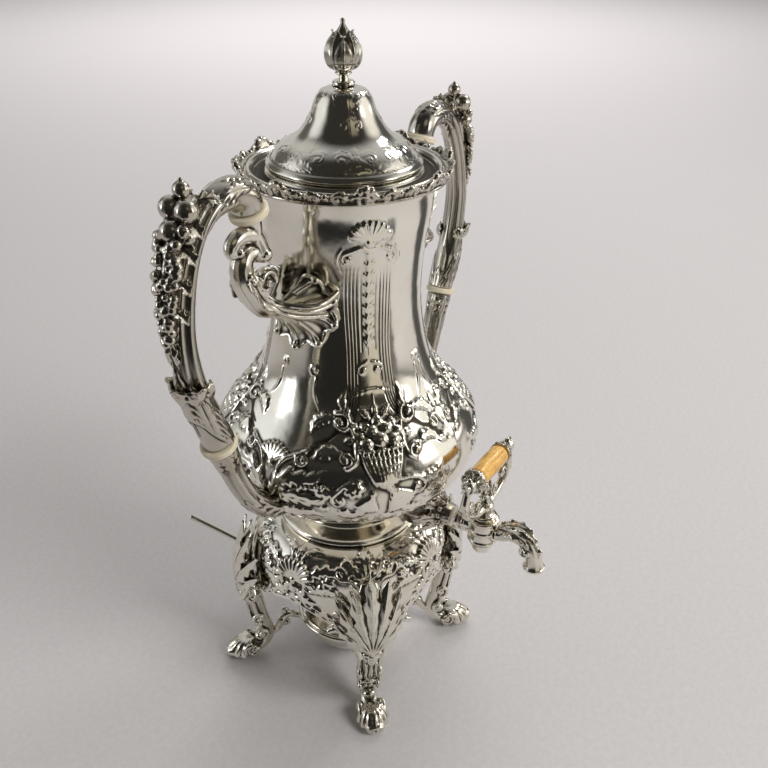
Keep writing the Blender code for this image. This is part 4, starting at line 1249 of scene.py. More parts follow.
def build_spigot():
    # a rough cast boss of leaves at the belly
    clay = Clay()
    clay.tube([(0, -77.2, SPIGOT_Z, 6.8), (0, -68, SPIGOT_Z, 8.6), (0, -64, SPIGOT_Z, 10.2),
               (0, -58, SPIGOT_Z, 13.6),
               (0, -50, SPIGOT_Z, 14.6), (0, -44, SPIGOT_Z, 13)], side=(1, 0, 0))
    for k in range(8):
        angle = TAU * k / 8
        out = np.array([math.cos(angle), 0, math.sin(angle)])
        side = (-math.sin(angle), 0, math.cos(angle))
        clay.leaf([out * 7 + [0, -74, SPIGOT_Z], out * 9.6 + [0, -68.5, SPIGOT_Z], out * 14.4 + [0, -63.5,
                                                                                                 SPIGOT_Z],
                   out * 18.2 + [0, -58.4, SPIGOT_Z]], 9.4, side, thick=1.8, lobes=3, cup=-0.2)
    for k in range(12):
        angle = TAU * (k + 0.5) / 12
        clay.ball((8.8 * math.cos(angle), -70.5, SPIGOT_Z + 8.8 * math.sin(angle)), 1.5)
    place("spigot_boss", clay.cast("spigot_boss", 0.5), OXIDISED_SHADED, "vessel", "spigot_flange", slot="silver")

    clay = Clay()
    clay.tube([(0, -79.5, SPIGOT_Z, 5.9), (0, -96, SPIGOT_Z, 6.0)], side=(1, 0, 0), sides=24)
    clay.tube([(0, -80.4, SPIGOT_Z, 7.6), (0, -83.0, SPIGOT_Z, 7.6)], side=(1, 0, 0), sides=24)
    clay.tube([(0, -84.6, SPIGOT_Z, 6.8), (0, -86.4, SPIGOT_Z, 6.8)], side=(1, 0, 0), sides=24)
    clay.tube([(0, TAP_Y, 138.2, 8.4), (0, TAP_Y, 154.0, 8.6)], side=(1, 0, 0), sides=28)
    for z in (138.9, 146, 153.0):
        clay.tube([(0, TAP_Y, z - 0.8, 9.2), (0, TAP_Y, z + 0.8, 9.2)], side=(1, 0, 0), sides=28)
    clay.tube([(0, -103, SPIGOT_Z, 5.6), (0, -105.6, SPIGOT_Z + 0.3, 5.8)], side=(1, 0, 0), sides=24)
    place("spigot_barrel", clay.cast("spigot_barrel", 0.4), PLAIN, "vessel", "spigot_body")

    clay = Clay()
    route = [(0, -106.4, 146.4, 5.0), (0, -109, 146.5, 4.6), (0, -114.5, 149, 4.6), (0, -120.5, 149.6, 4.8),
             (0, -126.3, 146.6, 4.8), (0, -130, 139.6, 4.8), (0, -130.9, 134.4, 5.4), (0, -131, 131.6, 6.4)]
    clay.tube(route, side=(1, 0, 0), sides=24)
    clay.tube([(0, -131, 133.0, 6.6), (0, -131, 131.5, 6.6)], side=(1, 0, 0), sides=24)
    for side in (-1, 1):
        clay.leaf(flip(side, (2.6, -108, 151), (4.8, -115, 154), (5.4, -122, 153.4), (5.0, -128, 148)),
                  7, (0.5, 0, side * -0.9), thick=1.4, lobes=4)
        clay.scroll((side * 4.9, -126.6, 143.6), 3.3, 1.2, turns=1.1, start=60, way=-1, width=1.3,
                    plane=((0, 1, 0), (0, 0, 1)))
    clay.leaf([(0, -107.6, 151.6), (0, -114, 155.2), (0, -121.6, 156.2), (0, -128.4, 152.4),
               (0, -132.6, 146.2)],
              9.5, (1, 0, 0), thick=1.7, lobes=5)
    clay.ball((0, -133.6, 144.6), 1.8)
    place("nozzle_leaf", clay.cast("nozzle_leaf", 0.4), CAST, "vessel", "spigot_nozzle")


def key_line(side, *points):
    """Points (x, z, ...) in the plane of the key, on one side of the middle."""
    return [(side * x, TAP_Y, *rest) for x, *rest in points]


def build_grip():
    """The amber grip: a slightly swelling rod with eased ends."""
    angle = TAU * np.arange(GRIP_SIDES)[None] / GRIP_SIDES
    x = (2 * np.arange(GRIP_ROWS + 1)[:, None] / GRIP_ROWS - 1) * GRIP_HALF
    eased = np.minimum(1, 0.84 + 0.16 * np.sqrt(np.minimum(1, (GRIP_HALF - np.abs(x)) / 1.1)))
    radius = (6.0 - 0.25 * (x / GRIP_HALF) ** 2 + 0.05 * np.sin(1.9 * x)) * eased
    grid = np.stack([x + 0 * angle, TAP_Y + radius * np.cos(angle), GRIP_Z + radius * np.sin(angle)], -1)
    mesh = make_mesh("amber_grip", *capped(grid))
    place("amber_grip", mesh, AMBER, "tap", "tap_grip", slot="amber_ivory")


def build_tap():
    """The key: a lyre of two leafy arms that carry the amber grip, on the tapered plug."""
    clay = Clay()
    clay.tube([(0, TAP_Y, 157.6, 6.2), (0, TAP_Y, 160, 4.6), (0, TAP_Y, 162.4, 5.6), (0, TAP_Y, 165, 4.2)],
              side=(1, 0, 0))
    for side in (-1, 1):
        clay.tube(key_line(side,
            (1, 162.4, 3.0), (8, 162.4, 2.5), (16, 165.0, 2.4),
            (23.4, 170.2, 2.5), (27.0, 177.0, 2.8), (26.6, 184.0, 2.4),
            (24.4, 190.4, 2.5), (24.0, 193.0, 2.6),
        ))
        clay.tube(key_line(side, (21.6, GRIP_Z, 4.2), (25.6, GRIP_Z, 4.2)), sides=20)
        clay.ball((side * 26.4, TAP_Y, GRIP_Z), (1.8, 2.6, 2.6))
        clay.scroll((side * 20.4, TAP_Y, 173.8), 3.6, 1.3, turns=1.2, start=0 if side > 0 else 180,
                    way=side, width=1.5,
                    lead=[(side * 25.6, TAP_Y, 180, 1.2)])
        clay.scroll((side * 11.4, TAP_Y, 168.4), 3.2, 1.2, turns=1.2, start=-90, way=-side, width=1.4)
        clay.leaf(key_line(side, (25.6, 170.8), (28.6, 175.6), (29.4, 182.0)),
                  6.4, (0, 1, 0), thick=1.5, lobes=3)
        clay.leaf(key_line(side, (26.2, 186.0), (28.2, 190.5), (27.6, 195.6)),
                  5.4, (0, 1, 0), thick=1.4, lobes=3)
        clay.ball((side * 23.9, TAP_Y, 194.9), (1.7, 2.0, 1.7))
    place("key_lyre", clay.cast("key_lyre", 0.4, 1), CAST, "tap", "tap_yoke")

    clay = Clay()
    for side in (-1, 1):
        clay.leaf(key_line(side, (0.4, 165.2), (3.0, 170.4), (3.6, 175.6), (1.2, 182.4)),
                  6.0, (0, 1, 0), thick=1.5, lobes=4)
        clay.scroll((side * 3.2, TAP_Y, 170.2), 2.2, 0.9, turns=1.0, start=90, way=-side, width=1.1)
    clay.ball((0, TAP_Y, 168), (1.9, 2.2, 2.8))
    clay.ball((0, TAP_Y, 175.5), (1.5, 1.9, 2.2))
    place("key_leaf", clay.cast("key_leaf", 0.35, 1), CAST, "tap", "tap_leaf")

    spindle("plug_stem", [
        (0.4, 157.3), (4.0, 157.3), (6.9, 157.0), (7.5, 156.2), (6.9, 155.2), (5.4, 154.6), (5.0, 153),
        (4.9, 146),
        (4.7, 139), (4.2, 137.2), (2.7, 136.4), (2.5, 134), (2.5, 130.6), (2.2, 129.8), (0.4, 129.6),
    ], PLAIN, "tap", "tap_plug", cols=48).data.transform(Matrix.Translation((0, TAP_Y * MM, 0)))

    build_grip()
    for word, side in (("left", -1), ("right", 1)):
        clay = Clay()
        clay.tube(key_line(side,
            (14.9, GRIP_Z, 6.3), (16.2, GRIP_Z, 6.3), (18.6, GRIP_Z, 5.0),
            (21.2, GRIP_Z, 4.2),
        ), sides=28)
        for k in range(6):
            swing = TAU * k / 6
            out = np.array([0, math.cos(swing), math.sin(swing)])
            clay.leaf([
                out * 4.2 + [side * 21.0, TAP_Y, GRIP_Z], out * 5.9 + [side * 18.4, TAP_Y, GRIP_Z],
                out * 7.0 + [side * 15.2, TAP_Y, GRIP_Z],
            ], 5.6, (0, -math.sin(swing), math.cos(swing)), thick=1.3, lobes=2, cup=-0.2)
        place(f"grip_ferrule_{word}", clay.cast(f"grip_ferrule_{word}", 0.3, 1), OXIDISED_SHADED, "tap",
              f"grip_cap_{word}")


# ---------------------------------------------------------------- the stand

STAND_TOP = [(41.0, 121.8), (46, 121.6)]
STAND_FACE = [(52, 119.6), (57, 115.8), (60.4, 110.5), (62, 104), (62.6, 96), (62.4, 88), (62.0, 84)]
STAND_CORNER = [(52.4, 119.4), (57.6, 115), (61.4, 109), (63.6, 101.5), (64.8, 92), (64.8, 82), (64, 73),
                (62.6, 66)]
LEG_LINE = [
    (64.6, 111, 1.6, 5), (68, 103, 3.3, 8.0), (70.2, 94, 4.4, 8.6), (71.4, 84, 5.2, 8.2), (71.2, 73, 5.6,
                                                                                           7.0),
    (69.2, 62, 5.9, 5.9), (66.9, 49, 6.2, 5.5), (64.2, 36, 5.6, 5.0), (60.6, 25, 4.6, 4.6),
    (59.6, 16.5, 4.4, 4.8),
    (63.0, 9.6, 4.4, 5.4), (69.5, 6.4, 4.6, 6.4), (77, 5.8, 5.2, 7.4), (84, 5.6, 4.9, 7.2),
    (88.6, 4.8, 3.4, 5.4),
]
CORNERS = {"front_left": 225, "front_right": 315, "back_right": 45, "back_left": 135}


STAND_COLUMNS = 640
STAND_ROWS = 104
STAND_WALL = 1.4
APRON_PATINA = 0.62
APRON_SCROLLS = 36


def stand_skin():
    """The domed shell: one profile in the middle of each face, a longer one at each corner."""
    face = outline(STAND_TOP + STAND_FACE, 0.1)
    corner = outline(STAND_TOP + STAND_CORNER, 0.1)
    share = np.linspace(0, 1, STAND_ROWS)

    def even(profile):
        at = np.linspace(0, 1, len(profile))
        return np.stack([np.interp(share, at, profile[:, c]) for c in range(2)], 1)

    angle = TAU * np.arange(STAND_COLUMNS) / STAND_COLUMNS
    to_face = (np.cos(2 * angle) ** 2)[None, :, None]
    blend = to_face * even(face)[:, None] + (1 - to_face) * even(corner)[:, None]
    radius, height = blend[..., 0], blend[..., 1]
    return Skin(np.stack([radius * np.cos(angle), radius * np.sin(angle), height], -1))


def stand_face(skin, angle, mirror):
    """A shell palmette in the middle of a face, with leaves and flowers beside it."""
    p = skin.patch(angle, 24, 60, mirror)
    p.fan(0, -7, 14.5, 2.6, lobes=11, aim=90, spread=190, inner=0.16)
    for side in (-1, 1):
        p.spiral(side * 13.4, -8, 5.0, 2.0, 2.4, turns=1.3, start=100, way=side,
                 tail=flip(side, (0, -16), (7, -15), (9, -8), (10, -3.4)))
        p.leaf(flip(side, (13, 0), (21, 4), (29, 1)), 9, 2.0, lobes=4)
        p.leaf(flip(side, (17, -10), (25, -8), (33, -12)), 8.5, 2.0, lobes=4)
        p.leaf(flip(side, (4, -13), (12, -20), (20, -20)), 7.5, 1.9, lobes=4)
        p.rosette(side * 24.5, -3, 4.2, 2.0, petals=6, spin=10)
        p.rosette(side * 33.5, 3, 3.4, 1.5, petals=6)
        p.spiral(side * 30, 9, 3.4, 1.1, 1.5, turns=1.15, start=-90, way=side, tail=flip(side, (20, 6),
                                                                                         (25, 5)))
        p.leaf(flip(side, (4, 8), (8, 14), (15, 15)), 5.5, 1.2, lobes=3)
    p.leaf([(0, 7), (0, 17)], 6.5, 1.5, lobes=3)
    p.leaf([(0, -9), (0, -19)], 7, 2.4, lobes=3)


def apron_border(skin):
    """Scrolls, beads and small leaves that run along the scalloped lower edge."""
    drop = skin.arc[-1] - skin.arc
    edge = np.exp(-((drop - 1.6) / 1.3) ** 2)
    inner_line = np.exp(-((drop - 7.4) / 0.7) ** 2)
    skin.high = np.maximum(skin.high, 1.5 * edge)
    skin.high = np.maximum(skin.high, 0.7 * inner_line)
    for k in range(APRON_SCROLLS):
        angle = 360 * (k + 0.5) / APRON_SCROLLS
        p = skin.edge_patch(angle, 16, 1 if k % 2 else -1)
        p.spiral(1.4, 4.6, 2.6, 1.7, 1.5, turns=1.1, start=90, way=-1, tail=[(-5, 3.4), (-2.6, 6.0),
                                                                             (-0.4, 7.2)])
        p.dome(-4.6, 4.6, 1.35, high=1.7)
        p.leaf([(3.6, 3.4), (5.4, 6.8), (4.4, 10.4)], 4.0, 1.3, lobes=3)


def build_stand_shell():
    skin = stand_skin()
    for k, angle in enumerate((0, 90, 180, 270)):
        stand_face(skin, angle, 1 if k % 2 else -1)
    apron_border(skin)
    for degrees in CORNERS.values():
        p = skin.patch(degrees, 14, 40)
        p.leaf([(0, -8), (0, 2), (0, 11)], 12, 1.6, lobes=5)
        for side in (-1, 1):
            p.leaf(flip(side, (2, -10), (9, -3), (12, 5)), 8, 1.4, lobes=4)
            p.spiral(side * 15.5, -6, 4.4, 1.6, 2.0, turns=1.2, start=-90, way=side, tail=flip(side,
                                                                                               (5, -16),
                                                                                               (10, -11)))
    skin.soften(2)
    inner = skin.grid - skin.normal * STAND_WALL
    grid = np.concatenate([skin.raised(), inner[::-4][:-1], inner[:1]])
    points = grid.reshape(-1, 3)
    mesh = make_mesh("stand_skin", points, grid_quads(len(grid), skin.cols, closed_rows=True))
    values = np.full(len(points), APRON_PATINA)
    values[:skin.rows * skin.cols] = skin.patina(0.03).ravel()
    set_patina(mesh, values)
    place("stand_skin", mesh, SILVER, "stand", "stand_shell")


KNEE_HEIGHTS = [62, 72, 84, 96, 106, 114, 119]
KNEE_RADII = [76.4, 77.0, 76.6, 74.8, 71.6, 68.4, 66.6]


def leg_mesh():
    """A leg under a big palmette, with side scrolls, a panelled shaft and a shell foot."""
    clay = Clay()
    clay.tube([(r, 0, z, wide, deep) for r, z, deep, wide in LEG_LINE], sides=24)
    # a palmette that fans up from the knee
    clay.leaf([
        (74.6, 0, 62), (75.2, 0, 74), (74.2, 0, 86), (71.6, 0, 97), (68.4, 0, 105),
    ], 27, (0, 1, 0), thick=2.4, lobes=4, notch=0.26, cup=0.24, ribs=0.6, tip=0.1, full=1.3)
    for swing, length in ((0, 57), (13, 54), (-13, 54), (27, 46), (-27, 46), (42, 34), (-42, 34)):
        angle = math.radians(swing)
        spine = []
        for share in (0.0, 0.25, 0.5, 0.75, 0.92, 1.0):
            y = share * length * math.sin(angle)
            z = 62 + share * length * math.cos(angle)
            r = float(np.interp(z, KNEE_HEIGHTS, KNEE_RADII)) - y * y / 36 + 2.4 * share ** 5
            spine.append((r, y, z))
        clay.leaf(spine, 11.2, (0, 1, 0), thick=2.3, lobes=5, notch=0.36, cup=0.22, ribs=0.7, tip=0.1,
                  full=1.5)
    for side in (-1, 1):
        clay.leaf(flip_y(side, (69, 6.5, 86), (72.4, 9.4, 77), (71.8, 10.2, 67.5), (70.2, 11.6, 61)),
                  9.5, (-0.4, side * 0.9, 0.1), thick=1.9, lobes=4, cup=-0.2)
        clay.scroll((66.6, side * 12.6, 73.6), 5.4, 1.7, turns=1.3, start=90, way=-side, width=2.0,
                    plane=((-0.30, 0.95, 0), (0, 0, 1)), lead=flip_y(side, (66.0, 24, 81.5, 1.4),
                                                                     (67, 18, 82, 1.6)))
        clay.tube(flip_y(side,
            (75, 7.0, 58, 1.9), (71.4, 9.6, 68, 2.2), (68.4, 14, 76, 2.4),
            (66.6, 20, 78.6, 2.3), (65.4, 26, 76.4, 2.0),
        ))
        clay.scroll((68.4, side * 7.4, 58), 4.3, 1.7, turns=1.2, start=90, way=1, width=1.9,
                    plane=((-1, 0, 0), (0, 0, 1)), lead=[(69, side * 7.4, 66, 1.7)])
        clay.scroll((65.4, side * 6.6, 36.4), 4.4, 1.6, turns=1.25, start=-90, way=1, width=1.7,
                    plane=((1, 0, 0), (0, 0, 1)), lead=[(67.4, side * 6.4, 26.6, 1.5)])
        clay.scroll((63.4, side * 6.0, 20.4), 3.8, 1.5, turns=1.2, start=90, way=1, width=1.5,
                    plane=((1, 0, 0), (0, 0, 1)), lead=[(65, side * 6.0, 28, 1.4)])
        clay.tube(flip_y(side, (69.0, 6.6, 54, 1.5), (67.6, 6.4, 46, 1.5), (66.2, 6.2, 38, 1.5)))
    # the knee's knot and the panelled shaft
    for k, (r, z, size) in enumerate(((76.6, 60.6, 3.0), (75.0, 55.6, 2.4), (73.6, 51.6, 1.9))):
        clay.ball((r, 0, z), (size, size * 1.25, size))
        for side in (-1, 1):
            clay.ball((r - 1.6, side * (size + 1.2), z + 0.6), size * 0.66)
    clay.tube([(72.8, -3.6, 49.5, 0.9), (71.6, -3.2, 41, 0.9), (69.4, -3.0, 33.5, 0.9), (66.8, 0, 29.4, 1.0),
               (69.4, 3.0, 33.5, 0.9), (71.6, 3.2, 41, 0.9), (72.8, 3.6, 49.5, 0.9)], side=(1, 0, 0.2))
    clay.leaf([(66.6, 0, 31), (69.8, 0, 36.5), (71.6, 0, 43), (72.8, 0, 48.6)], 5.4, (0, 1, 0), thick=1.4,
              lobes=3)
    clay.tube([(64.8, -4.9, 25.6, 1.1), (67.0, 0, 27.2, 1.4), (64.8, 4.9, 25.6, 1.1)], side=(0, 0, 1))
    # the foot: a fluted shell between two scrolls
    clay.ball((78.5, 0, 6.2), (9.5, 8.4, 5.6))
    for k in range(7):
        swing = math.radians(-60 + 20 * k)
        length = 17.6 - 1.1 * abs(k - 3)
        root = np.array([71.0, 0, 10.4])
        tip = root + np.array([math.cos(swing) * length, math.sin(swing) * length * 0.72, -6.4])
        middle = (root + tip) / 2 + np.array([0.6, 0, 4.4])
        clay.tube([(*root, 1.5), (*middle, 2.5), (*tip, 2.5)])
    for side in (-1, 1):
        clay.scroll((70.4, side * 7.4, 8.0), 4.8, 1.8, turns=1.3, start=100, way=1, width=2.0,
                    plane=((-1, 0, 0), (0, 0, 1)), lead=flip_y(side, (77.6, 7.8, 9.4, 1.5),
                                                               (74.4, 7.8, 11.8, 1.7)))
    clay.ball((66.0, 0, 14.4), (3.4, 4.4, 3.4))
    clay.tube([(80.5, 0, 0.9, 6.4), (80.5, 0, 3.4, 6.8)], sides=24)
    return clay.cast("leg", 0.5, 2)


def arm_mesh():
    """An S-curved arm from the ankle to the ring that carries the lamp."""
    clay = Clay()
    clay.tube([
        (56.8, 0, 17.4, 2.8), (54.0, 0, 18.0, 2.7), (51.4, 0, 21.6, 2.8), (49.6, 0, 26, 2.9), (47, 0, 29.6,
                                                                                               2.8),
        (44.0, 0, 31.2, 2.6), (41.4, 0, 30.2, 2.5), (38.6, 0, 28.2, 2.0), (34.6, 0, 28.0, 1.9),
    ], sides=16)
    clay.scroll((47.0, 0, 23.4), 3.4, 1.3, turns=1.2, start=40, way=1, width=1.8, lead=[(50.6, 0, 20.4, 1.4)])
    clay.scroll((47.4, 0, 34.2), 2.7, 1.1, turns=1.1, start=200, way=-1, width=1.6)
    clay.ball((49.4, 0, 27), (3.3, 3.6, 2.2))
    return clay.cast("arm", 0.45, 2)


def build_stand():
    build_stand_shell()
    leg, arm = leg_mesh(), arm_mesh()
    for corner, degrees in CORNERS.items():
        place(f"leg_leaf_{corner}", leg, CAST, "stand", f"leg_{corner}", turn=degrees)
        place(f"arm_scroll_{corner}", arm, CAST, "stand", f"lamp_arm_{corner}", turn=degrees)
    turned_piece("lamp_hoop", [
        (30.9, 30.4), (32.2, 30.5), (34.2, 30.3), (34.7, 29.4), (34.0, 28.6), (34.7, 27.6), (34.2, 26.2),
        (30.9, 26.2),
    ], PLAIN, "stand", "lamp_ring")
    section = [
        (31.8, 134.2), (31.3, 132.4), (31.0, 130.6), (31.7, 128.9), (33.6, 127.6), (36.5, 126.9),
        (40.4, 126.3),
        (43.4, 125.9), (44.8, 124.9), (44.9, 123.8), (44.5, 122.5), (38.8, 122.3), (38.8, 115.8),
        (37.4, 115.8),
        (37.3, 121.4), (30.4, 126), (29.3, 130.4), (29.8, 134.2),
    ]
    turned_piece("foot_moulding", section, PLAIN, "vessel", "foot_ring", cols=200, step=0.6)


WICK_TOP = 57.9
WICK_LENGTH = 40.4
WICK_RADIUS = 4.25


def build_wick():
    """A plaited cotton cylinder with a frayed top."""
    angle = TAU * np.arange(48)[None] / 48
    share = np.linspace(0, 1, 80)[:, None]
    weave = 1 + 0.045 * np.sin(6 * angle + share * 60) * np.sin(6 * angle - share * 60)
    radius = WICK_RADIUS * weave * np.clip(0.72 + share * 14, 0, 1)
    height = WICK_TOP - WICK_LENGTH * share + 0.5 * np.sin(5 * angle) * (share < 0.02)
    grid = np.stack([radius * np.cos(angle), radius * np.sin(angle), height], -1)
    place("cotton_wick", make_mesh("cotton_wick", *capped(grid)), COTTON, "burner", "wick", slot="cotton")


def build_burner():
    turned_piece("lamp_bowl", [
        (0.6, 9.4), (8, 9.5), (14, 9.9), (22, 12.2), (27.2, 17), (28.6, 24), (28.8, 34.1), (33, 34.4),
        (36.8, 34.3),
        (37.5, 33.4), (37.4, 31.6), (36.6, 30.9), (30.4, 30.8), (29.9, 24), (28.5, 16.4), (23, 10.7),
        (14, 8.4), (0.6, 8.0),
    ], PLAIN, "burner", "burner_bowl", cols=160)
    turned_piece("lamp_cover", [
        (6.4, 44.4), (10, 44), (15, 43), (16, 42.4), (20, 41.4), (29, 38), (34.6, 36.6), (35.9, 35.8),
        (35.9, 34.8),
        (28.4, 34.8), (28, 31.8), (26.8, 31.8), (26.8, 36.4), (19, 39.8), (10, 42.4), (6.4, 42.8),
    ], PLAIN, "burner", "burner_cover", cols=160)
    turned_piece("wick_pipe", [
        (6.0, 54.2), (6.3, 54.8), (5.9, 55.4), (4.75, 55.4), (4.75, 19.4), (6.0, 19.4),
    ], PLAIN, "burner", "wick_tube", cols=64, step=0.5)
    build_wick()
    # the long rod that carries the lamp in and out
    clay = Clay()
    clay.tube([
        (0, 36.8, 32.6, 1.9), (0, 38.8, 32.7, 2.6), (0, 40.6, 33.2, 2.3), (-0.6, 46, 35, 2.1),
        (-2.2, 62, 40.2, 2.15),
        (-4.9, 100, 46.9, 2.2), (-7.2, 125, 50.4, 2.3), (-8.9, 142.4, 52.6, 2.45),
    ], side=(1, 0, 0), sides=20)
    clay.ball((-8.9, 141.2, 52.45), (2.5, 1.9, 2.5))
    clay.tube([(-1.0, 49.6, 36.3, 2.7), (-1.2, 51.4, 36.9, 2.7)], side=(1, 0, 0))
    place("lamp_rod", clay.cast("lamp_rod", 0.35, 3), CAST, "burner", "burner_handle")
    spindle("snuffer", [
        (0.4, 67.0), (1.7, 66.7), (2.4, 65.6), (1.7, 64.4), (1.5, 63.6), (3.2, 63.0), (6.4, 61.7),
        (7.8, 59.6),
        (8.2, 56.4), (8.3, 51.4), (8.3, 46.0), (8.1, 45.1), (7.2, 44.9), (6.7, 45.3), (6.6, 51.4),
        (6.5, 58.0),
        (5.6, 59.6), (3, 60.0), (0.4, 60.0),
    ], PLAIN, "snuffer", "snuffer_cap", cols=72)


# ---------------------------------------------------------------- floor, light and camera


def stage_floor():
    """A pale paper floor."""
    made, tree, shader = node_setup("paper_floor")
    where = add_node(tree, "ShaderNodeTexCoord").outputs["Object"]
    fibre = noise(tree, where, 260, 3, 0.6)
    colour = mix_colour(tree, ramp(tree, fibre, 0.3, 0.7), (0.565, 0.544, 0.542, 1), (0.605, 0.581, 0.578, 1))
    tree.links.new(colour, shader.inputs["Base Color"])
    shader.inputs["Roughness"].default_value = 0.75
    shader.inputs["Specular IOR Level"].default_value = 0.25
    bpy.ops.mesh.primitive_circle_add(vertices=96, radius=9.0, fill_type="NGON", location=(0, 0, 0))
    floor = bpy.context.object
    floor.name = "studio_floor"
    floor.data.materials.append(made)


def direction_from(azimuth, elevation):
    a, e = math.radians(azimuth), math.radians(elevation)
    return (math.cos(a) * math.cos(e), math.sin(a) * math.cos(e), math.sin(e))


def studio_world():
    """The room the silver mirrors: grey walls with pale and dark places."""
    world = bpy.data.worlds.new("studio")
    bpy.context.scene.world = world
    world.use_nodes = True
    tree = world.node_tree
    background = tree.nodes["Background"]
    where = add_node(tree, "ShaderNodeTexCoord").outputs["Generated"]
    colour = (*ROOM_WALLS, 1)
    for azimuth, elevation, inner, outer, tint in ROOM:
        toward = add_node(
            tree, "ShaderNodeVectorMath", {0: where, 1: direction_from(azimuth, elevation)},
            operation="DOT_PRODUCT"
        ).outputs["Value"]
        share = ramp(tree, toward, math.cos(math.radians(outer)), math.cos(math.radians(inner)))
        colour = mix_colour(tree, share, colour, (*tint, 1))
    tree.links.new(colour, background.inputs["Color"])
    background.inputs["Strength"].default_value = 0.85


def reflector(name, azimuth, distance, width, low, high, strength, tint):
    """A soft-edged upright card that only the silver's reflections see."""
    made = bpy.data.materials.new(name)
    made.use_nodes = True
    tree = made.node_tree
    tree.nodes.remove(tree.nodes["Principled BSDF"])
    glow = add_node(tree, "ShaderNodeEmission")
    glow.inputs["Color"].default_value = (*tint, 1)
    glow.inputs["Strength"].default_value = strength
    clear = add_node(tree, "ShaderNodeBsdfTransparent")
    where = add_node(tree, "ShaderNodeTexCoord").outputs["Generated"]
    across = add_node(tree, "ShaderNodeSeparateXYZ", {"Vector": where})
    cover = None
    for axis in ("Y", "Z"):
        off_middle = maths(tree, "ABSOLUTE", maths(tree, "SUBTRACT", across.outputs[axis], 0.5))
        fade = ramp(tree, maths(tree, "SUBTRACT", 0.5, off_middle), 0.0, CARD_FADE)
        cover = fade if cover is None else maths(tree, "MULTIPLY", cover, fade)
    blend = add_node(tree, "ShaderNodeMixShader", {0: cover})
    tree.links.new(clear.outputs[0], blend.inputs[1])
    tree.links.new(glow.outputs[0], blend.inputs[2])
    tree.links.new(blend.outputs[0], tree.nodes["Material Output"].inputs["Surface"])
    half = width / 2
    corners = [(distance, y, z) for y, z in ((-half, low), (half, low), (half, high), (-half, high))]
    mesh = bpy.data.meshes.new(name)
    mesh.from_pydata(corners, [], [(0, 1, 2, 3)])
    mesh.materials.append(made)
    card = bpy.data.objects.new(name, mesh)
    bpy.context.scene.collection.objects.link(card)
    card.rotation_euler = (0, 0, math.radians(azimuth))
    for ray in ("camera", "diffuse", "shadow", "transmission", "volume_scatter"):
        setattr(card, f"visible_{ray}", False)


def area_light(name, azimuth, elevation, distance, size, power, tint=(1, 1, 1), mirrored_by_silver=True):
    data = bpy.data.lights.new(name, "AREA")
    data.shape = "RECTANGLE"
    data.size, data.size_y = size
    data.energy = power
    data.color = tint
    light = bpy.data.objects.new(name, data)
    bpy.context.scene.collection.objects.link(light)
    aim = Vector(direction_from(azimuth, elevation))
    light.location = aim * distance + Vector((0, 0, 0.18))
    light.rotation_euler = aim.to_track_quat("Z", "Y").to_euler()
    light.visible_glossy = mirrored_by_silver
    return light


def build_camera():
    azimuth, roll = math.radians(CAMERA_AZIMUTH), math.radians(CAMERA_ROLL)
    back = Vector(direction_from(CAMERA_AZIMUTH - 90, CAMERA_ELEVATION))
    right = Vector((math.cos(azimuth), math.sin(azimuth), 0))
    up = back.cross(right)
    target = Vector((0, 0, 0.210)) + right * CAMERA_SHIFT[0] + up * CAMERA_SHIFT[1]
    data = bpy.data.cameras.new("camera")
    data.sensor_width = SENSOR_WIDTH
    data.lens = FOCAL_RATIO * SENSOR_WIDTH
    camera = bpy.data.objects.new("camera", data)
    bpy.context.scene.collection.objects.link(camera)
    rolled_right = right * math.cos(roll) + up * math.sin(roll)
    rolled_up = up * math.cos(roll) - right * math.sin(roll)
    turn = Matrix((rolled_right, rolled_up, back)).transposed().to_4x4()
    camera.matrix_world = Matrix.Translation(target + back * CAMERA_DISTANCE) @ turn
    bpy.context.scene.camera = camera


# The camera stands where the photographer stood. Angles in degrees, lengths in metres.
CAMERA_AZIMUTH = -57.73
CAMERA_ELEVATION = 30.55
CAMERA_ROLL = 0.64
CAMERA_DISTANCE = 0.524
CAMERA_SHIFT = (0.02205, 0.00305)
SENSOR_WIDTH = 36.0
FOCAL_RATIO = 1.1202

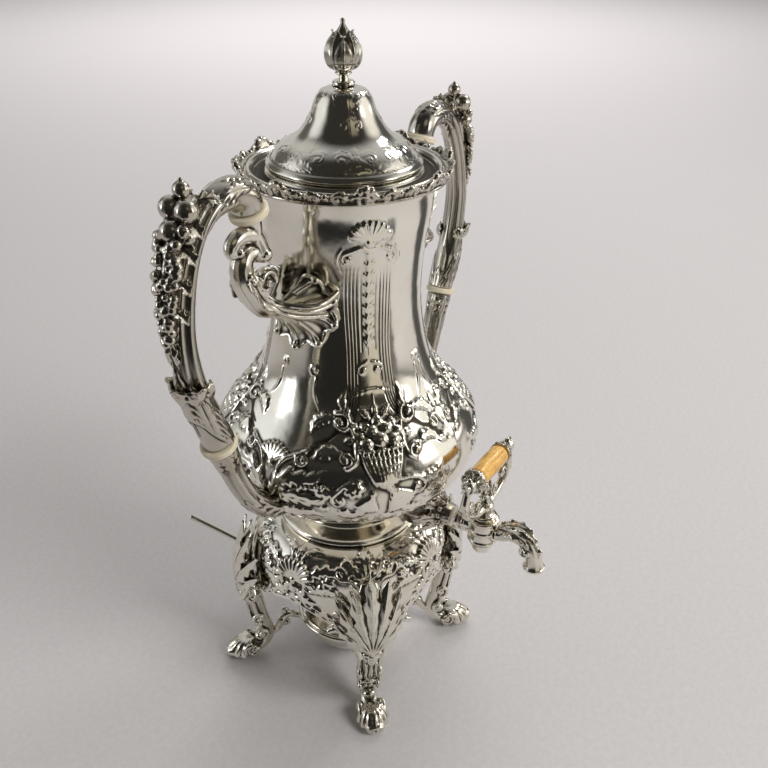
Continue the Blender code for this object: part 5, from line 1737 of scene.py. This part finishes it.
# What the silver mirrors. In the room: (azimuth, elevation, inner and outer angle, colour), in degrees.
ROOM_WALLS = (0.36, 0.355, 0.34)
ROOM = [
    (32, 90, 10, 62, (0.42, 0.42, 0.42)),
    (32, 4, 40, 84, (0.62, 0.62, 0.61)),
    (-150, 26, 54, 92, (0.035, 0.033, 0.028)),
    (-54, 16, 14, 34, (1.15, 1.12, 1.04)),
    (122, 16, 12, 34, (1.0, 1.02, 1.04)),
    (-8, 20, 8, 22, (0.10, 0.10, 0.095)),
    (84, 20, 8, 22, (0.13, 0.125, 0.115)),
    (-112, 40, 6, 16, (0.40, 0.36, 0.27)),
]
# Cards: (name, azimuth, distance, width, low, high, strength, colour), in degrees and metres.
# Their edges fade over a share of their size.
CARD_FADE = 0.18
REFLECTORS = [
    ("dark_side", -161, 0.40, 0.74, 0.0, 0.44, 0.018, (1.0, 0.97, 0.88)),
    ("cream_side", -108, 0.50, 0.26, 0.0, 0.36, 0.62, (1.0, 0.94, 0.80)),
    ("grey_side", -84, 0.52, 0.14, 0.0, 0.24, 0.16, (1.0, 0.98, 0.94)),
    ("edge_side", -22, 0.46, 0.20, 0.0, 0.30, 0.08, (1.0, 0.98, 0.94)),
    ("window_left", 141, 1.10, 0.34, 0.22, 0.70, 4.2, (0.95, 0.98, 1.0)),
    ("window_right", -74, 1.00, 0.32, 0.32, 0.86, 3.4, (1.0, 0.98, 0.95)),
    ("window_front", -36, 1.05, 0.26, 0.20, 0.62, 3.0, (1.0, 0.98, 0.95)),
]


def build_studio():
    stage_floor()
    studio_world()
    for card in REFLECTORS:
        reflector(*card)
    area_light("glint_light", -14, 44, 1.7, (0.42, 0.42), 4.4, (1.0, 0.99, 0.975))
    area_light("key_light", -88, 38, 2.1, (0.9, 0.9), 27.0, (1.0, 0.99, 0.975), mirrored_by_silver=False)
    area_light("top_light", 60, 80, 1.9, (1.3, 1.3), 3.0, mirrored_by_silver=False)
    far = area_light("far_light", 32, 90, 1.6, (2.4, 2.4), 66, (1.0, 0.98, 0.99), mirrored_by_silver=False)
    far.location.x, far.location.y = 2.5, 1.6
    bpy.context.scene.view_settings.view_transform = "Standard"
    bpy.context.scene.view_settings.look = "None"


build_vessel()
build_rim()
build_mouth()
build_lid()
build_finial()
build_handles()
build_spigot()
build_tap()
build_stand()
build_burner()
for cad_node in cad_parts.values():
    if not cad_node.hide_render:
        cad_node.data.materials.clear()
        cad_node.data.materials.append(PLAIN)
build_studio()
build_camera()
